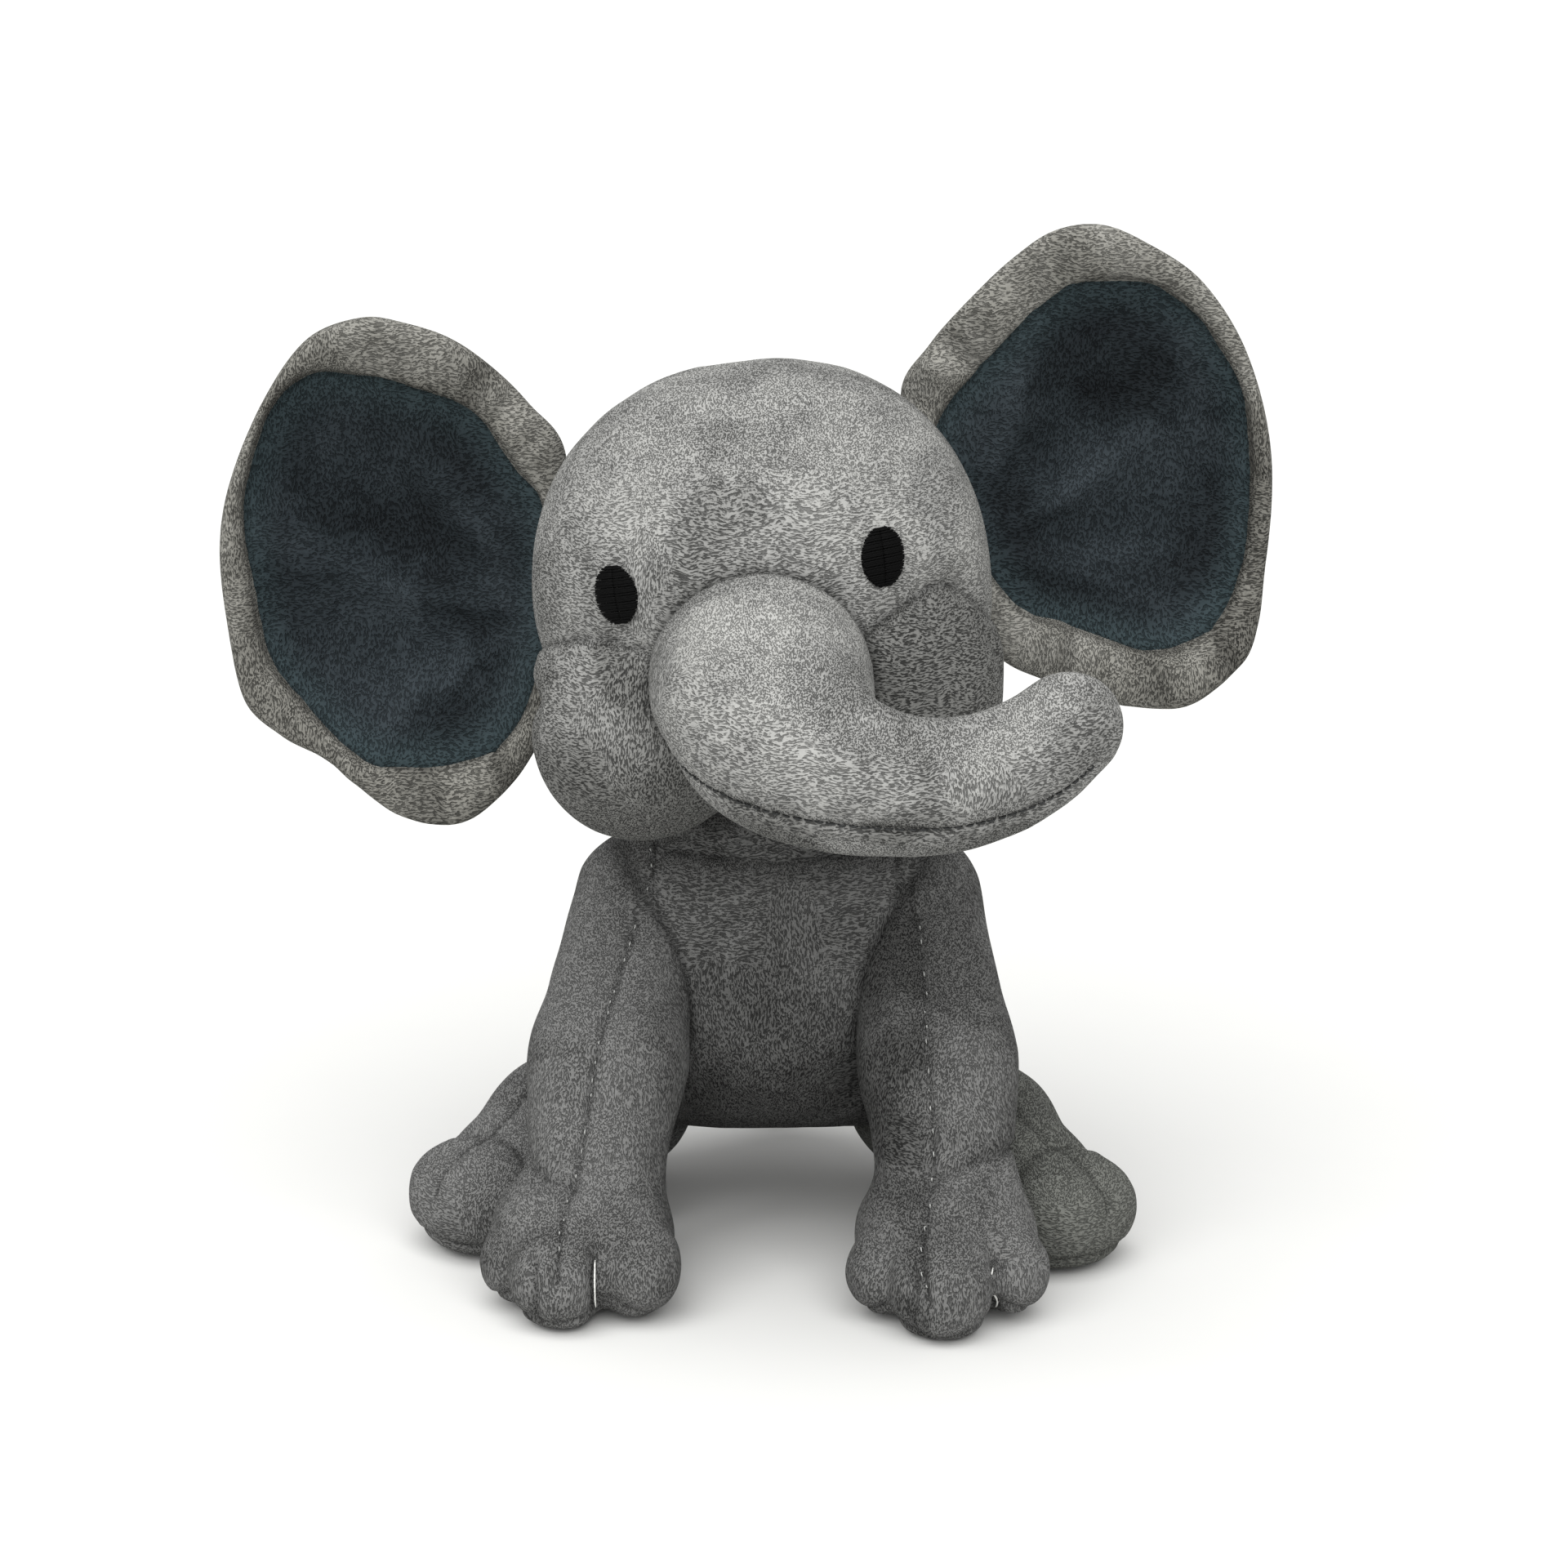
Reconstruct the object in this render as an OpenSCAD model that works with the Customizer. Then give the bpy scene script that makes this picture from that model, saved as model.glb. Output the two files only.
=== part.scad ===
// Stuffed elephant that sits on its four feet, about 260 mm tall.
// Front of the toy faces -Y, +Z is up and the floor is z = 0, in millimetres.
// Every stuffed part is a pile-fabric skin, cut into its sewn panels, round a core of fibre stuffing.

/* [Fabric and fit] */
// Thickness of the pile fabric with its nap
skin = 1.6; // [1.2:0.1:2.2]
// Space between two soft bodies that flex against each other
gap = 0.6; // [0.4:0.1:1]
// Thickness of the sewing thread, drawn at the width that it shows
thread_d = 0.9; // [0.6:0.1:1.2]

/* [Head] */
// Half width of the head
head_r = 57; // [47:0.5:69]
// Height of the head above its centre
head_up = 57; // [47:0.5:69]
// Depth of the head below its centre
head_down = 57; // [47:0.5:69]
// Sideways tilt of the head at rest
head_roll = 8; // [0:1:12]
// Radius of the stuffed cheeks
cheek_r = 30; // [25:0.5:36]
// Width of an embroidered eye
eye_w = 10; // [8:0.5:13]
// Height of an embroidered eye
eye_h = 15; // [12:0.5:19]
// Distance between the middles of the eyes
eye_span = 64; // [52:1:78]

/* [Trunk] */
// Radius of the trunk where it leaves the face
trunk_root_r = 26; // [22:0.5:31]
// Radius of the trunk at its bend
trunk_bend_r = 15; // [12:0.5:17]
// Radius of the trunk at its tip
trunk_tip_r = 12; // [10:0.5:13]
// How far the trunk reaches forward of its root
trunk_forward = 36; // [30:1:44]
// How far the trunk's bend lies to the side of its root
trunk_side = 47; // [40:1:58]
// How far the trunk's bend lies below its root
trunk_drop = 19; // [12:1:24]
// Length of the stuffed tip beyond the bend
trunk_tip = 26; // [21:1:32]

/* [Ears] */
// Width of an ear from the head to its outer edge
ear_w = 76; // [63:1:92]
// Height of an ear
ear_h = 128; // [106:1:152]
// Thickness of an ear
ear_t = 9; // [7:0.5:11]
// Width of the turned rim round the lining
ear_rim = 9; // [6:0.5:12]
// Inward lean of the line on which an ear is sewn
ear_lean = 13; // [5:1:18]

/* [Torso] */
// Half width of the torso at its widest
torso_r = 46; // [41:0.5:55]
// Height of the torso's middle above the floor
torso_z = 54; // [50:0.5:65]
// Length of the torso above its middle, along its own axis
torso_up = 75; // [70:1:90]
// Length of the torso below its middle, along its own axis
torso_down = 47; // [42:1:56]
// Forward lean of the torso
torso_lean = 20; // [14:1:24]
// Height at which the neck is sewn on
neck_z = 106; // [103:0.5:110]

/* [Front legs] */
// Distance between the shoulders
shoulder_span = 84; // [80:1:92]
// Radius of a front leg
leg_r = 17.5; // [15:0.5:20]
// Radius of a front foot
paw_r = 24.5; // [21:0.5:29]
// Height of a front foot
paw_h = 34; // [29:0.5:40]
// How far a front foot stands forward of the ankle
paw_forward = 14; // [8:0.5:17]

/* [Hind legs] */
// Radius of a thigh
thigh_r = 24; // [21:0.5:28]
// Radius of a hind foot
heel_r = 20; // [17:0.5:24]
// Height of a hind foot
heel_h = 35; // [30:0.5:41]
// How far a hind foot stands to the side of its hip
heel_out = 42; // [36:1:50]
// How far a hind foot stands forward of its hip
heel_forward = 50; // [42:1:58]

/* [Tail] */
// Radius of the tail
tail_r = 4.5; // [3.5:0.25:6]
// Length of the tail
tail_l = 27; // [23:1:30]

/* [Hidden] */

// colours of the finished toy
grey = "#86888a";
pale_grey = "#a2a4a4";
dark_grey = "#6a6d6e";
navy = "#2f3a44";
fibre = "#f2f1ec";
thread_white = "#dcdcd8";
black = "#101012";

// shape constants
whole = 400;           // larger than the toy, for cutting blocks
fullness = 0.86;       // below 1 makes an egg squarer than an ellipsoid
egg_steps = 9;         // profile points from one pole of an egg to the other, less one
sweep_sides = 16;      // sides of the trunk
sweep_steps = 8;       // rings along each stretch of the trunk
centre_y = 15.94;      // brings the middle of the whole toy over the origin
centre_x = 5.03;

// motion limits in degrees, which the clearances have to leave room for
leg_forward = 20;
leg_backward = 3;
thigh_outward = 12;
thigh_inward = 3;
neck_swing = 8;

// torso places
torso_y = 30;
seat_slope = 18;       // the seat falls towards the rump
seat_front = [-10, torso_z - 23];

// neck places
neck_ball_r = 27;
neck_core_r = 20;
neck_sink = 16;        // how far the neck's middle lies below the neck seam
neck_ring_r = 24;
neck_ring_h = 2.4;
neck_at = [0, 8, neck_z - neck_sink];

// head places, and the rest in the head's own frame
head_at = [-3, -8, neck_z + head_down + 8];
cheek_left_at = [-(head_r - 23), -18, -(head_down - 30)];
cheek_right_at = [head_r - 24, -18, -(head_down - 32)];
cheek_line = -4;       // height of the seam between face and cheeks
chin_half_w = 13;
eye_z = 10;
eye_tilt = 8;
trunk_root_at = [-1, -(head_r + 3), -14];
trunk_bend_at = trunk_root_at + [trunk_side, -trunk_forward, -trunk_drop];
bend_gap = 3.7;        // from the bend's middle to each stuffed end
bend_ball_r = trunk_bend_r - skin - 0.6;
ear_back = 12;         // distance of the ear's seam behind the head's middle
ear_seam_z = 4;
ear_root_r = ear_t / 2;
ear_root_x = head_r + ear_root_r + gap;
ear_root_l = 0.62 * ear_h;

// front leg places, for the right-hand leg
shoulder_at = [shoulder_span / 2, -8, torso_z + 36];
ankle_at = [shoulder_span / 2, -42, 32];
leg_line = ankle_at - shoulder_at;
leg_l = norm(leg_line);
paw_at = [ankle_at[0] + 2, ankle_at[1] - paw_forward, paw_h / 2];

// hind leg places, for the right-hand leg
hip_at = [34, 34, thigh_r - 1.2];
heel_at = [hip_at[0] + heel_out, hip_at[1] - heel_forward, heel_h - heel_r];
thigh_l = norm([heel_out, heel_forward]);
hind_seam_z = heel_at[2] + 3.5;

// tail place
tail_at = [0, torso_y + torso_r + tail_r + 1.7, torso_z - 14];
tail_tuft_r = tail_r * 1.45;

// --- outlines and profiles ---

function side_power(value, power) = sign(value) * pow(abs(value), power);

// half outline of an egg of revolution, from its lower pole to its upper one
function egg_points(r, up, down) = [
    for (i = [0:egg_steps])
        let (a = -90 + 180 * i / egg_steps, level = side_power(sin(a), fullness))
            [i == 0 || i == egg_steps ? 0 : r * pow(cos(a), fullness), (a < 0 ? down : up) * level]
];

// outline of an ear; p runs from the seam to the outer edge, q upwards
function ear_outline(inset) = [
    for (i = [0:39])
        let (
            a = 360 * i / 40,
            p = (ear_w / 2 - inset) * side_power(cos(a), 0.9),
            q = (ear_h / 2 - inset) * side_power(sin(a), 0.9),
            lean = 0.16 * q
        )
            [max(ear_w / 2 + p + lean, inset), q + 3]
];

// --- solids of revolution and sweeps ---

module egg(r, up, down) {
    rotate_extrude($fn = 48) polygon(egg_points(r, up, down));
}

// a limb that hangs from its round top at z = 0
module limb(r_top, r_end, length) {
    slope = asin((r_top - r_end) / length);
    sphere(r_top, $fn = 48);
    translate([0, 0, -length]) sphere(r_end, $fn = 48);
    translate([0, 0, -length - r_end * sin(slope)])
        cylinder(r1 = r_end * cos(slope), r2 = r_top * cos(slope),
            h = length + (r_end - r_top) * sin(slope), $fn = 48);
}

// points a limb from its local -Z to the given direction
module aim(direction) {
    flat = norm([direction[0], direction[1]]);
    rotate([0, 0, atan2(direction[1], direction[0])])
        rotate([0, -atan2(flat, -direction[2]), 0])
            children();
}

module above(z) {
    translate([-whole / 2, -whole / 2, z]) cube(whole);
}

module in_front(y) {
    translate([-whole / 2, y - whole, -whole / 2]) cube(whole);
}

module right_of(x) {
    translate([x, -whole / 2, -whole / 2]) cube(whole);
}

// --- trunk sweep ---

function bezier(a, b, c, d, t) =
    pow(1 - t, 3) * a + 3 * pow(1 - t, 2) * t * b + 3 * (1 - t) * t * t * c + pow(t, 3) * d;

trunk_reach = [0, -trunk_forward * 0.95, -trunk_drop * 0.5];
trunk_turn = [trunk_side * 0.62, 0, 0];
trunk_end_way = [1, 0.22, 0.1] / norm([1, 0.22, 0.1]);
tip_start = trunk_bend_at + trunk_end_way * bend_gap;
base_end = trunk_bend_at - trunk_end_way * bend_gap;
tip_end = trunk_bend_at + [trunk_tip * 0.88, trunk_tip * 0.2, trunk_tip * 0.28];

function base_path(t) = bezier(
    trunk_root_at, trunk_root_at + trunk_reach, base_end - trunk_turn, base_end, t);
function tip_path(t) = bezier(
    tip_start, tip_start + trunk_end_way * trunk_tip * 0.3,
    tip_end - [1, 0.2, 0.75] * trunk_tip * 0.25, tip_end, t);

function unit(v) = v / norm(v);

// a cross-section: points of a ring from angle a0 to a1 round the path's direction
function ring(at, way, r, a0, a1, sides) =
    let (across = unit(cross(way, [0, 0, 1])), over = unit(cross(across, way)))
        [for (i = [0:sides]) let (a = a0 + (a1 - a0) * i / sides) at + r * (cos(a) * across + sin(a) * over)];

// rings along the trunk's base: a half ball behind the root, then the tapering sweep
ball_steps = 3;
function base_ring(i, inset, a0, a1, sides) =
    let (
        way0 = unit(base_path(0.02) - base_path(0)),
        t = max(0, (i - ball_steps) / sweep_steps),
        back = i < ball_steps ? 90 - 85 * i / ball_steps : 0,
        r = trunk_root_r + (trunk_bend_r - trunk_root_r) * pow(t, 0.7) - inset,
        at = base_path(t) - way0 * r * sin(back),
        way = i <= ball_steps ? way0 : unit(base_path(min(1, t + 0.02)) - base_path(t - 0.02))
    )
        ring(at, way, r * (back > 89 ? 0.15 : cos(back)), a0, a1, sides);

function tip_ring(i, inset, a0, a1, sides) =
    let (
        t = min(1, i / (sweep_steps - 3)),
        cap = i > sweep_steps - 3 ? 30 * (i - sweep_steps + 3) : 0,
        way = unit(tip_path(min(1, t + 0.02)) - tip_path(min(1, t + 0.02) - 0.04)),
        r = trunk_bend_r - 0.6 + (trunk_tip_r - trunk_bend_r + 0.6) * t - inset,
        at = tip_path(t) + way * r * sin(cap)
    )
        ring(at, way, r * (cap > 89 ? 0.15 : cos(cap)), a0, a1, sides);

// joins rings of equal length into one closed solid
module skin_rings(rings) {
    n = len(rings[0]);
    last = len(rings) - 1;
    polyhedron(
        points = [for (r = rings) each r],
        faces = concat(
            [for (k = [0:last - 1], i = [0:n - 1]) [k * n + i, k * n + (i + 1) % n, (k + 1) * n + i]],
            [for (k = [0:last - 1], i = [0:n - 1])
                [k * n + (i + 1) % n, (k + 1) * n + (i + 1) % n, (k + 1) * n + i]],
            [[for (i = [n - 1:-1:0]) i]],
            [[for (i = [0:n - 1]) last * n + i]]
        )
    );
}

function drop_last(list) = [for (i = [0:len(list) - 2]) list[i]];
function reversed(list) = [for (i = [len(list) - 1:-1:0]) list[i]];

// a whole stretch of the trunk, or its sewn upper or under panel as a half shell
module trunk_stretch(is_tip, inset) {
    skin_rings([for (i = [0:is_tip ? sweep_steps : sweep_steps + ball_steps])
        drop_last(is_tip ? tip_ring(i, inset, 0, 360, sweep_sides) : base_ring(i, inset, 0, 360, sweep_sides))]);
}

module trunk_panel(is_tip, a0, a1) {
    half = sweep_sides / 2;
    skin_rings([for (i = [0:is_tip ? sweep_steps - 1 : sweep_steps + ball_steps])
        if (is_tip || i > 0)
            is_tip
                ? concat(tip_ring(i, 0, a0, a1, half), reversed(tip_ring(i, skin, a0, a1, half)))
                : concat(base_ring(i, 0, a0, a1, half), reversed(base_ring(i, skin, a0, a1, half)))]);
}

// --- torso ---

module torso_form(inset) {
    translate([0, torso_y, torso_z])
        rotate([torso_lean, 0, 0])
            egg(torso_r - inset, torso_up - inset, torso_down - inset);
}

// everything above the sloping seat, raised by lift
module seat_block(lift) {
    translate([0, seat_front[0], seat_front[1] + lift])
        rotate([-seat_slope, 0, 0])
            translate([-whole / 2, -whole / 2, 0]) cube(whole);
}

// outline that holds a round limb of radius r while it turns from one angle to another
function room_points(r, length, from, to, steps = 6) = concat(
    [length * [cos(from), sin(from)] + r * [sin(from), -cos(from)]],
    [for (i = [0:steps])
        let (
            turn = (to - from - 180) / steps,
            a = from - 90 + turn * i,
            reach = i == 0 || i == steps ? r : r / cos(turn / 2)
        )
            reach * [cos(a), sin(a)]],
    [length * [cos(to), sin(to)] + r * [-sin(to), cos(to)]]
);

// hollows in the torso's sides for the front legs to swing in
module leg_room() {
    for (side = [-1, 1])
        translate([side > 0 ? shoulder_at[0] - leg_r - 2 * gap : -whole, shoulder_at[1], shoulder_at[2]])
            rotate([0, 90, 0]) rotate([0, 0, atan2(leg_line[1], -leg_line[2])])
                linear_extrude(whole - shoulder_at[0] + leg_r + 2 * gap)
                    polygon(room_points(leg_r + 2 * gap, 2 * leg_l, -leg_forward, leg_backward));
}

// hollows under its haunches for the hind legs
module thigh_room() {
    for (side = [-1, 1])
        translate([side * hip_at[0], hip_at[1], -1])
            rotate([0, 0, atan2(-heel_forward, side * heel_out)])
                linear_extrude(hip_at[2] + thigh_r + 2 * gap + 1)
                    polygon(room_points(thigh_r + 2 * gap, 2 * thigh_l,
                        side > 0 ? -thigh_inward : -thigh_outward,
                        side > 0 ? thigh_outward : thigh_inward));
}

module torso_solid(inset, top_drop, seat_lift) {
    difference() {
        intersection() {
            torso_form(inset);
            seat_block(seat_lift);
        }
        above(neck_z - top_drop);
        leg_room();
        thigh_room();
    }
}

module torso_skin() {
    difference() {
        torso_solid(0, 0, skin);
        torso_form(skin);
    }
}

belly_half_w = shoulder_at[0] - leg_r - 3 * gap;

module belly_panel() {
    color(grey) intersection() {
        torso_skin();
        in_front(torso_y);
        translate([-belly_half_w, -whole / 2, 0]) cube([2 * belly_half_w, whole, whole]);
    }
}

module side_panel(side) {
    color(grey) difference() {
        intersection() {
            torso_skin();
            mirror([side < 0 ? 1 : 0, 0, 0]) right_of(0);
        }
        translate([-belly_half_w, torso_y - whole, 0]) cube([2 * belly_half_w, whole, whole]);
    }
}

module seat_panel() {
    color(dark_grey) difference() {
        intersection() {
            torso_form(0);
            seat_block(0);
        }
        seat_block(skin);
        leg_room();
        thigh_room();
    }
}

module body_stuffing() {
    color(fibre) torso_solid(skin, 0, skin);
}

stitch_l = 5;
stitch_count = 7;
stitch_sink = 0.4;

// short thread bars down the middle of the back, where the filling hole is closed by hand
module closing_stitches() {
    color(thread_white)
        translate([0, torso_y, torso_z])
            rotate([torso_lean, 0, 0])
                for (i = [0:stitch_count - 1])
                    let (
                        z = 12 + i * stitch_l,
                        reach = torso_r * pow(1 - pow(z / torso_up, 2 / fullness), fullness / 2)
                    )
                        translate([-2, reach - stitch_sink, z]) rotate([0, 90, 0])
                            cylinder(d = thread_d, h = 4, $fn = 16);
}

// --- neck ---

module neck_stuffing() {
    color(fibre) {
        intersection() {
            translate(neck_at) sphere(neck_core_r, $fn = 48);
            above(neck_z + gap);
        }
        translate([neck_at[0], neck_at[1], neck_z + gap])
            cylinder(r = neck_ring_r, h = neck_ring_h, $fn = 48);
    }
}

// lowest height over the neck's middle at which a tilted cap clears the neck's ring
ring_top = neck_sink + gap + neck_ring_h;
band_rise = (ring_top + gap + sqrt(pow(neck_ball_r, 2) - pow(ring_top, 2)) * sin(neck_swing)) / cos(neck_swing);

// cap of fabric and fibre between the neck's core and the head
module neck_band() {
    color(grey) intersection() {
        difference() {
            translate(neck_at) sphere(neck_ball_r, $fn = 48);
            translate(neck_at) sphere(neck_core_r + gap, $fn = 48);
        }
        above(neck_at[2] + band_rise);
    }
}

// --- head ---

module in_head() {
    translate(head_at) rotate([0, -head_roll, 0]) children();
}

module head_form(inset) {
    egg(head_r - inset, head_up - inset, head_down - inset);
    translate(cheek_left_at) sphere(cheek_r - inset, $fn = 48);
    translate(cheek_right_at) sphere(cheek_r - inset, $fn = 48);
}

module head_hollows() {
    translate(neck_at) sphere(neck_ball_r + gap, $fn = 48);
    in_head() translate(trunk_root_at) sphere(trunk_root_r + gap, $fn = 48);
}

module head_skin() {
    difference() {
        in_head() head_form(0);
        in_head() head_form(skin);
        head_hollows();
    }
}

module face_panel() {
    color(pale_grey) intersection() {
        head_skin();
        in_head() in_front(0);
        in_head() above(cheek_line);
    }
}

// lower front of the head between two heights of x in the head's frame
module lower_front(x0, x1) {
    intersection() {
        head_skin();
        in_head() translate([x0, -whole, cheek_line - whole]) cube([x1 - x0, whole, whole]);
    }
}

module head_back(side) {
    color(grey) difference() {
        head_skin();
        in_head() in_front(0);
        in_head() mirror([side < 0 ? 0 : 1, 0, 0]) right_of(0);
    }
}

module head_stuffing() {
    color(fibre) difference() {
        in_head() head_form(skin);
        head_hollows();
    }
}

eye_lift = 0.8;

// satin-stitched oval that stands a little proud of the face
module eye(side) {
    color(black) in_head() intersection() {
        difference() {
            egg(head_r + eye_lift, head_up + eye_lift, head_down + eye_lift);
            egg(head_r, head_up, head_down);
        }
        translate([side * eye_span / 2, 0, eye_z])
            rotate([90, side * eye_tilt, 0])
                linear_extrude(whole)
                    polygon([for (i = [0:23]) [eye_w / 2 * cos(15 * i), eye_h / 2 * sin(15 * i)]]);
    }
}

// --- ears ---

// places an ear so that p runs outwards, q up the seam and the thickness is centred on the seam
module at_ear(side) {
    in_head() mirror([side < 0 ? 1 : 0, 0, 0])
        translate([ear_root_x, ear_back, ear_seam_z])
            rotate([90, -ear_lean, 0])
                translate([0, 0, -ear_t / 2]) children();
}

module ear_outer(side) {
    color(grey) at_ear(side) {
        difference() {
            linear_extrude(ear_t) polygon(ear_outline(0));
            translate([0, 0, skin]) linear_extrude(ear_t) polygon(ear_outline(ear_rim));
            translate([-ear_w, -ear_h, -1]) cube([ear_w, 2 * ear_h, ear_t + 2]);
        }
    }
}

module ear_lining(side) {
    color(navy) at_ear(side)
        translate([0, 0, ear_t - 2 * skin]) linear_extrude(skin) polygon(ear_outline(ear_rim));
}

module ear_wadding(side) {
    color(fibre) at_ear(side)
        translate([0, 0, skin]) linear_extrude(ear_t - 3 * skin) polygon(ear_outline(ear_rim));
}

// --- front legs ---

module front_leg_form(side, inset) {
    translate([side * shoulder_at[0], shoulder_at[1], shoulder_at[2]])
        aim([side * leg_line[0], leg_line[1], leg_line[2]])
            limb(leg_r - inset, leg_r - inset, leg_l);
    translate([side * paw_at[0], paw_at[1], paw_at[2]])
        egg(paw_r - inset, paw_h / 2 - inset, paw_h / 2 + 3 - inset);
}

module front_leg_skin(side) {
    difference() {
        intersection() {
            front_leg_form(side, 0);
            above(skin);
        }
        front_leg_form(side, skin);
    }
}

// the outer panel lies on the far side of the seam down the front of the leg
module front_leg_panel(side, is_outer) {
    color(grey) difference() {
        front_leg_skin(side);
        mirror([(side < 0) != is_outer ? 1 : 0, 0, 0])
            right_of(((side < 0) != is_outer ? -side : side) * ankle_at[0]);
    }
}

module front_leg_sole(side) {
    color(dark_grey) difference() {
        intersection() {
            front_leg_form(side, 0);
            above(0);
        }
        above(skin);
    }
}

module front_leg_stuffing(side) {
    color(fibre) intersection() {
        front_leg_form(side, skin);
        above(skin);
    }
}

toe_turn = 24;         // spread of the two toe lines from the front of the foot
toe_arc = 80;

// two tacks of thread pulled over the front of the foot, between its three toes
module toe_stitches(side) {
    color(thread_white)
        translate([side * paw_at[0], paw_at[1], paw_at[2]])
            for (turn = [-toe_turn, toe_turn])
                rotate([0, 0, turn - 90])
                    translate([paw_r - paw_h / 2, 0, 0])
                        rotate([90, 0, 0])
                            rotate([0, 0, -toe_arc / 2])
                                rotate_extrude(angle = toe_arc, $fn = 48)
                                    translate([paw_h / 2, 0, 0]) circle(d = thread_d, $fn = 16);
}

// --- hind legs ---

module hind_leg_form(side, inset) {
    translate([side * hip_at[0], hip_at[1], hip_at[2]])
        aim([side * heel_out, -heel_forward, heel_at[2] - 0.5 - hip_at[2]])
            limb(thigh_r - inset, heel_r - 6 - inset, thigh_l - 3);
    translate([side * heel_at[0], heel_at[1], heel_at[2]]) sphere(heel_r - inset, $fn = 48);
}

module hind_leg_skin(side) {
    difference() {
        intersection() {
            hind_leg_form(side, 0);
            above(skin);
        }
        hind_leg_form(side, skin);
    }
}

module hind_leg_panel(side, is_upper) {
    color(is_upper ? grey : dark_grey) {
        if (is_upper) {
            intersection() {
                hind_leg_skin(side);
                above(hind_seam_z);
            }
        } else {
            difference() {
                hind_leg_skin(side);
                above(hind_seam_z);
            }
        }
    }
}

module hind_leg_sole(side) {
    color(dark_grey) difference() {
        intersection() {
            hind_leg_form(side, 0);
            above(0);
        }
        above(skin);
    }
}

module hind_leg_stuffing(side) {
    color(fibre) intersection() {
        hind_leg_form(side, skin);
        above(skin);
    }
}

// --- tail ---

module tail_form(inset) {
    translate(tail_at) {
        limb(tail_r - inset, tail_r - inset, tail_l);
        translate([0, 0, -tail_l]) sphere(tail_tuft_r - inset, $fn = 32);
    }
}

module tail_skin() {
    color(grey) difference() {
        tail_form(0);
        tail_form(skin);
    }
}

module tail_stuffing() {
    color(fibre) tail_form(skin);
}

// --- the toy ---

module show(name) {
    translate([centre_x, centre_y, 0]) children();
}

show("belly_panel") belly_panel();
show("side_panel_left") side_panel(-1);
show("side_panel_right") side_panel(1);
show("seat_panel") seat_panel();
show("body_stuffing") body_stuffing();
show("closing_stitches") closing_stitches();
show("neck_stuffing") neck_stuffing();
show("neck_band") neck_band();
show("face_panel") face_panel();
show("cheek_panel_left") color(grey) lower_front(-whole / 2, -chin_half_w);
show("cheek_panel_right") color(dark_grey) lower_front(chin_half_w, whole / 2);
show("chin_panel") color(grey) lower_front(-chin_half_w, chin_half_w);
show("head_back_left") head_back(-1);
show("head_back_right") head_back(1);
show("head_stuffing") head_stuffing();
show("eye_left") eye(-1);
show("eye_right") eye(1);
show("trunk_upper_panel") color(pale_grey) in_head() trunk_panel(false, 0, 180);
show("trunk_under_panel") color(grey) in_head() trunk_panel(false, 180, 360);
show("trunk_stuffing") color(fibre) in_head() {
    trunk_stretch(false, skin + gap);
    translate(trunk_bend_at) sphere(bend_ball_r, $fn = 32);
}
show("trunk_tip_upper_panel") color(pale_grey) in_head() trunk_panel(true, 0, 180);
show("trunk_tip_under_panel") color(grey) in_head() trunk_panel(true, 180, 360);
show("trunk_tip_stuffing") color(fibre) in_head() difference() {
    trunk_stretch(true, skin + gap);
    translate(trunk_bend_at) sphere(bend_ball_r + gap, $fn = 32);
}
show("ear_left_outer") ear_outer(-1);
show("ear_left_lining") ear_lining(-1);
show("ear_left_wadding") ear_wadding(-1);
show("ear_right_outer") ear_outer(1);
show("ear_right_lining") ear_lining(1);
show("ear_right_wadding") ear_wadding(1);
show("front_leg_left_outer_panel") front_leg_panel(-1, true);
show("front_leg_left_inner_panel") front_leg_panel(-1, false);
show("front_leg_left_sole") front_leg_sole(-1);
show("front_leg_left_stuffing") front_leg_stuffing(-1);
show("front_leg_left_toe_stitches") toe_stitches(-1);
show("front_leg_right_outer_panel") front_leg_panel(1, true);
show("front_leg_right_inner_panel") front_leg_panel(1, false);
show("front_leg_right_sole") front_leg_sole(1);
show("front_leg_right_stuffing") front_leg_stuffing(1);
show("front_leg_right_toe_stitches") toe_stitches(1);
show("hind_leg_left_upper_panel") hind_leg_panel(-1, true);
show("hind_leg_left_under_panel") hind_leg_panel(-1, false);
show("hind_leg_left_sole") hind_leg_sole(-1);
show("hind_leg_left_stuffing") hind_leg_stuffing(-1);
show("hind_leg_right_upper_panel") hind_leg_panel(1, true);
show("hind_leg_right_under_panel") hind_leg_panel(1, false);
show("hind_leg_right_sole") hind_leg_sole(1);
show("hind_leg_right_stuffing") hind_leg_stuffing(1);
show("tail_skin") tail_skin();
show("tail_stuffing") tail_stuffing();
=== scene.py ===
"""Visual model of a stuffed elephant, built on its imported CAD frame.

Every padded part is a closed skin drawn over its stuffing, swelled by a short cloth simulation that the
seams hold in, and dressed in short pile fabric. Lengths are millimetres until a mesh is made.
"""

from __future__ import annotations

import logging
import math
from collections.abc import Callable, Sequence
from dataclasses import dataclass, field
from enum import Enum

import bpy
import numpy as np
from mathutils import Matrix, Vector
from mathutils.kdtree import KDTree


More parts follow.
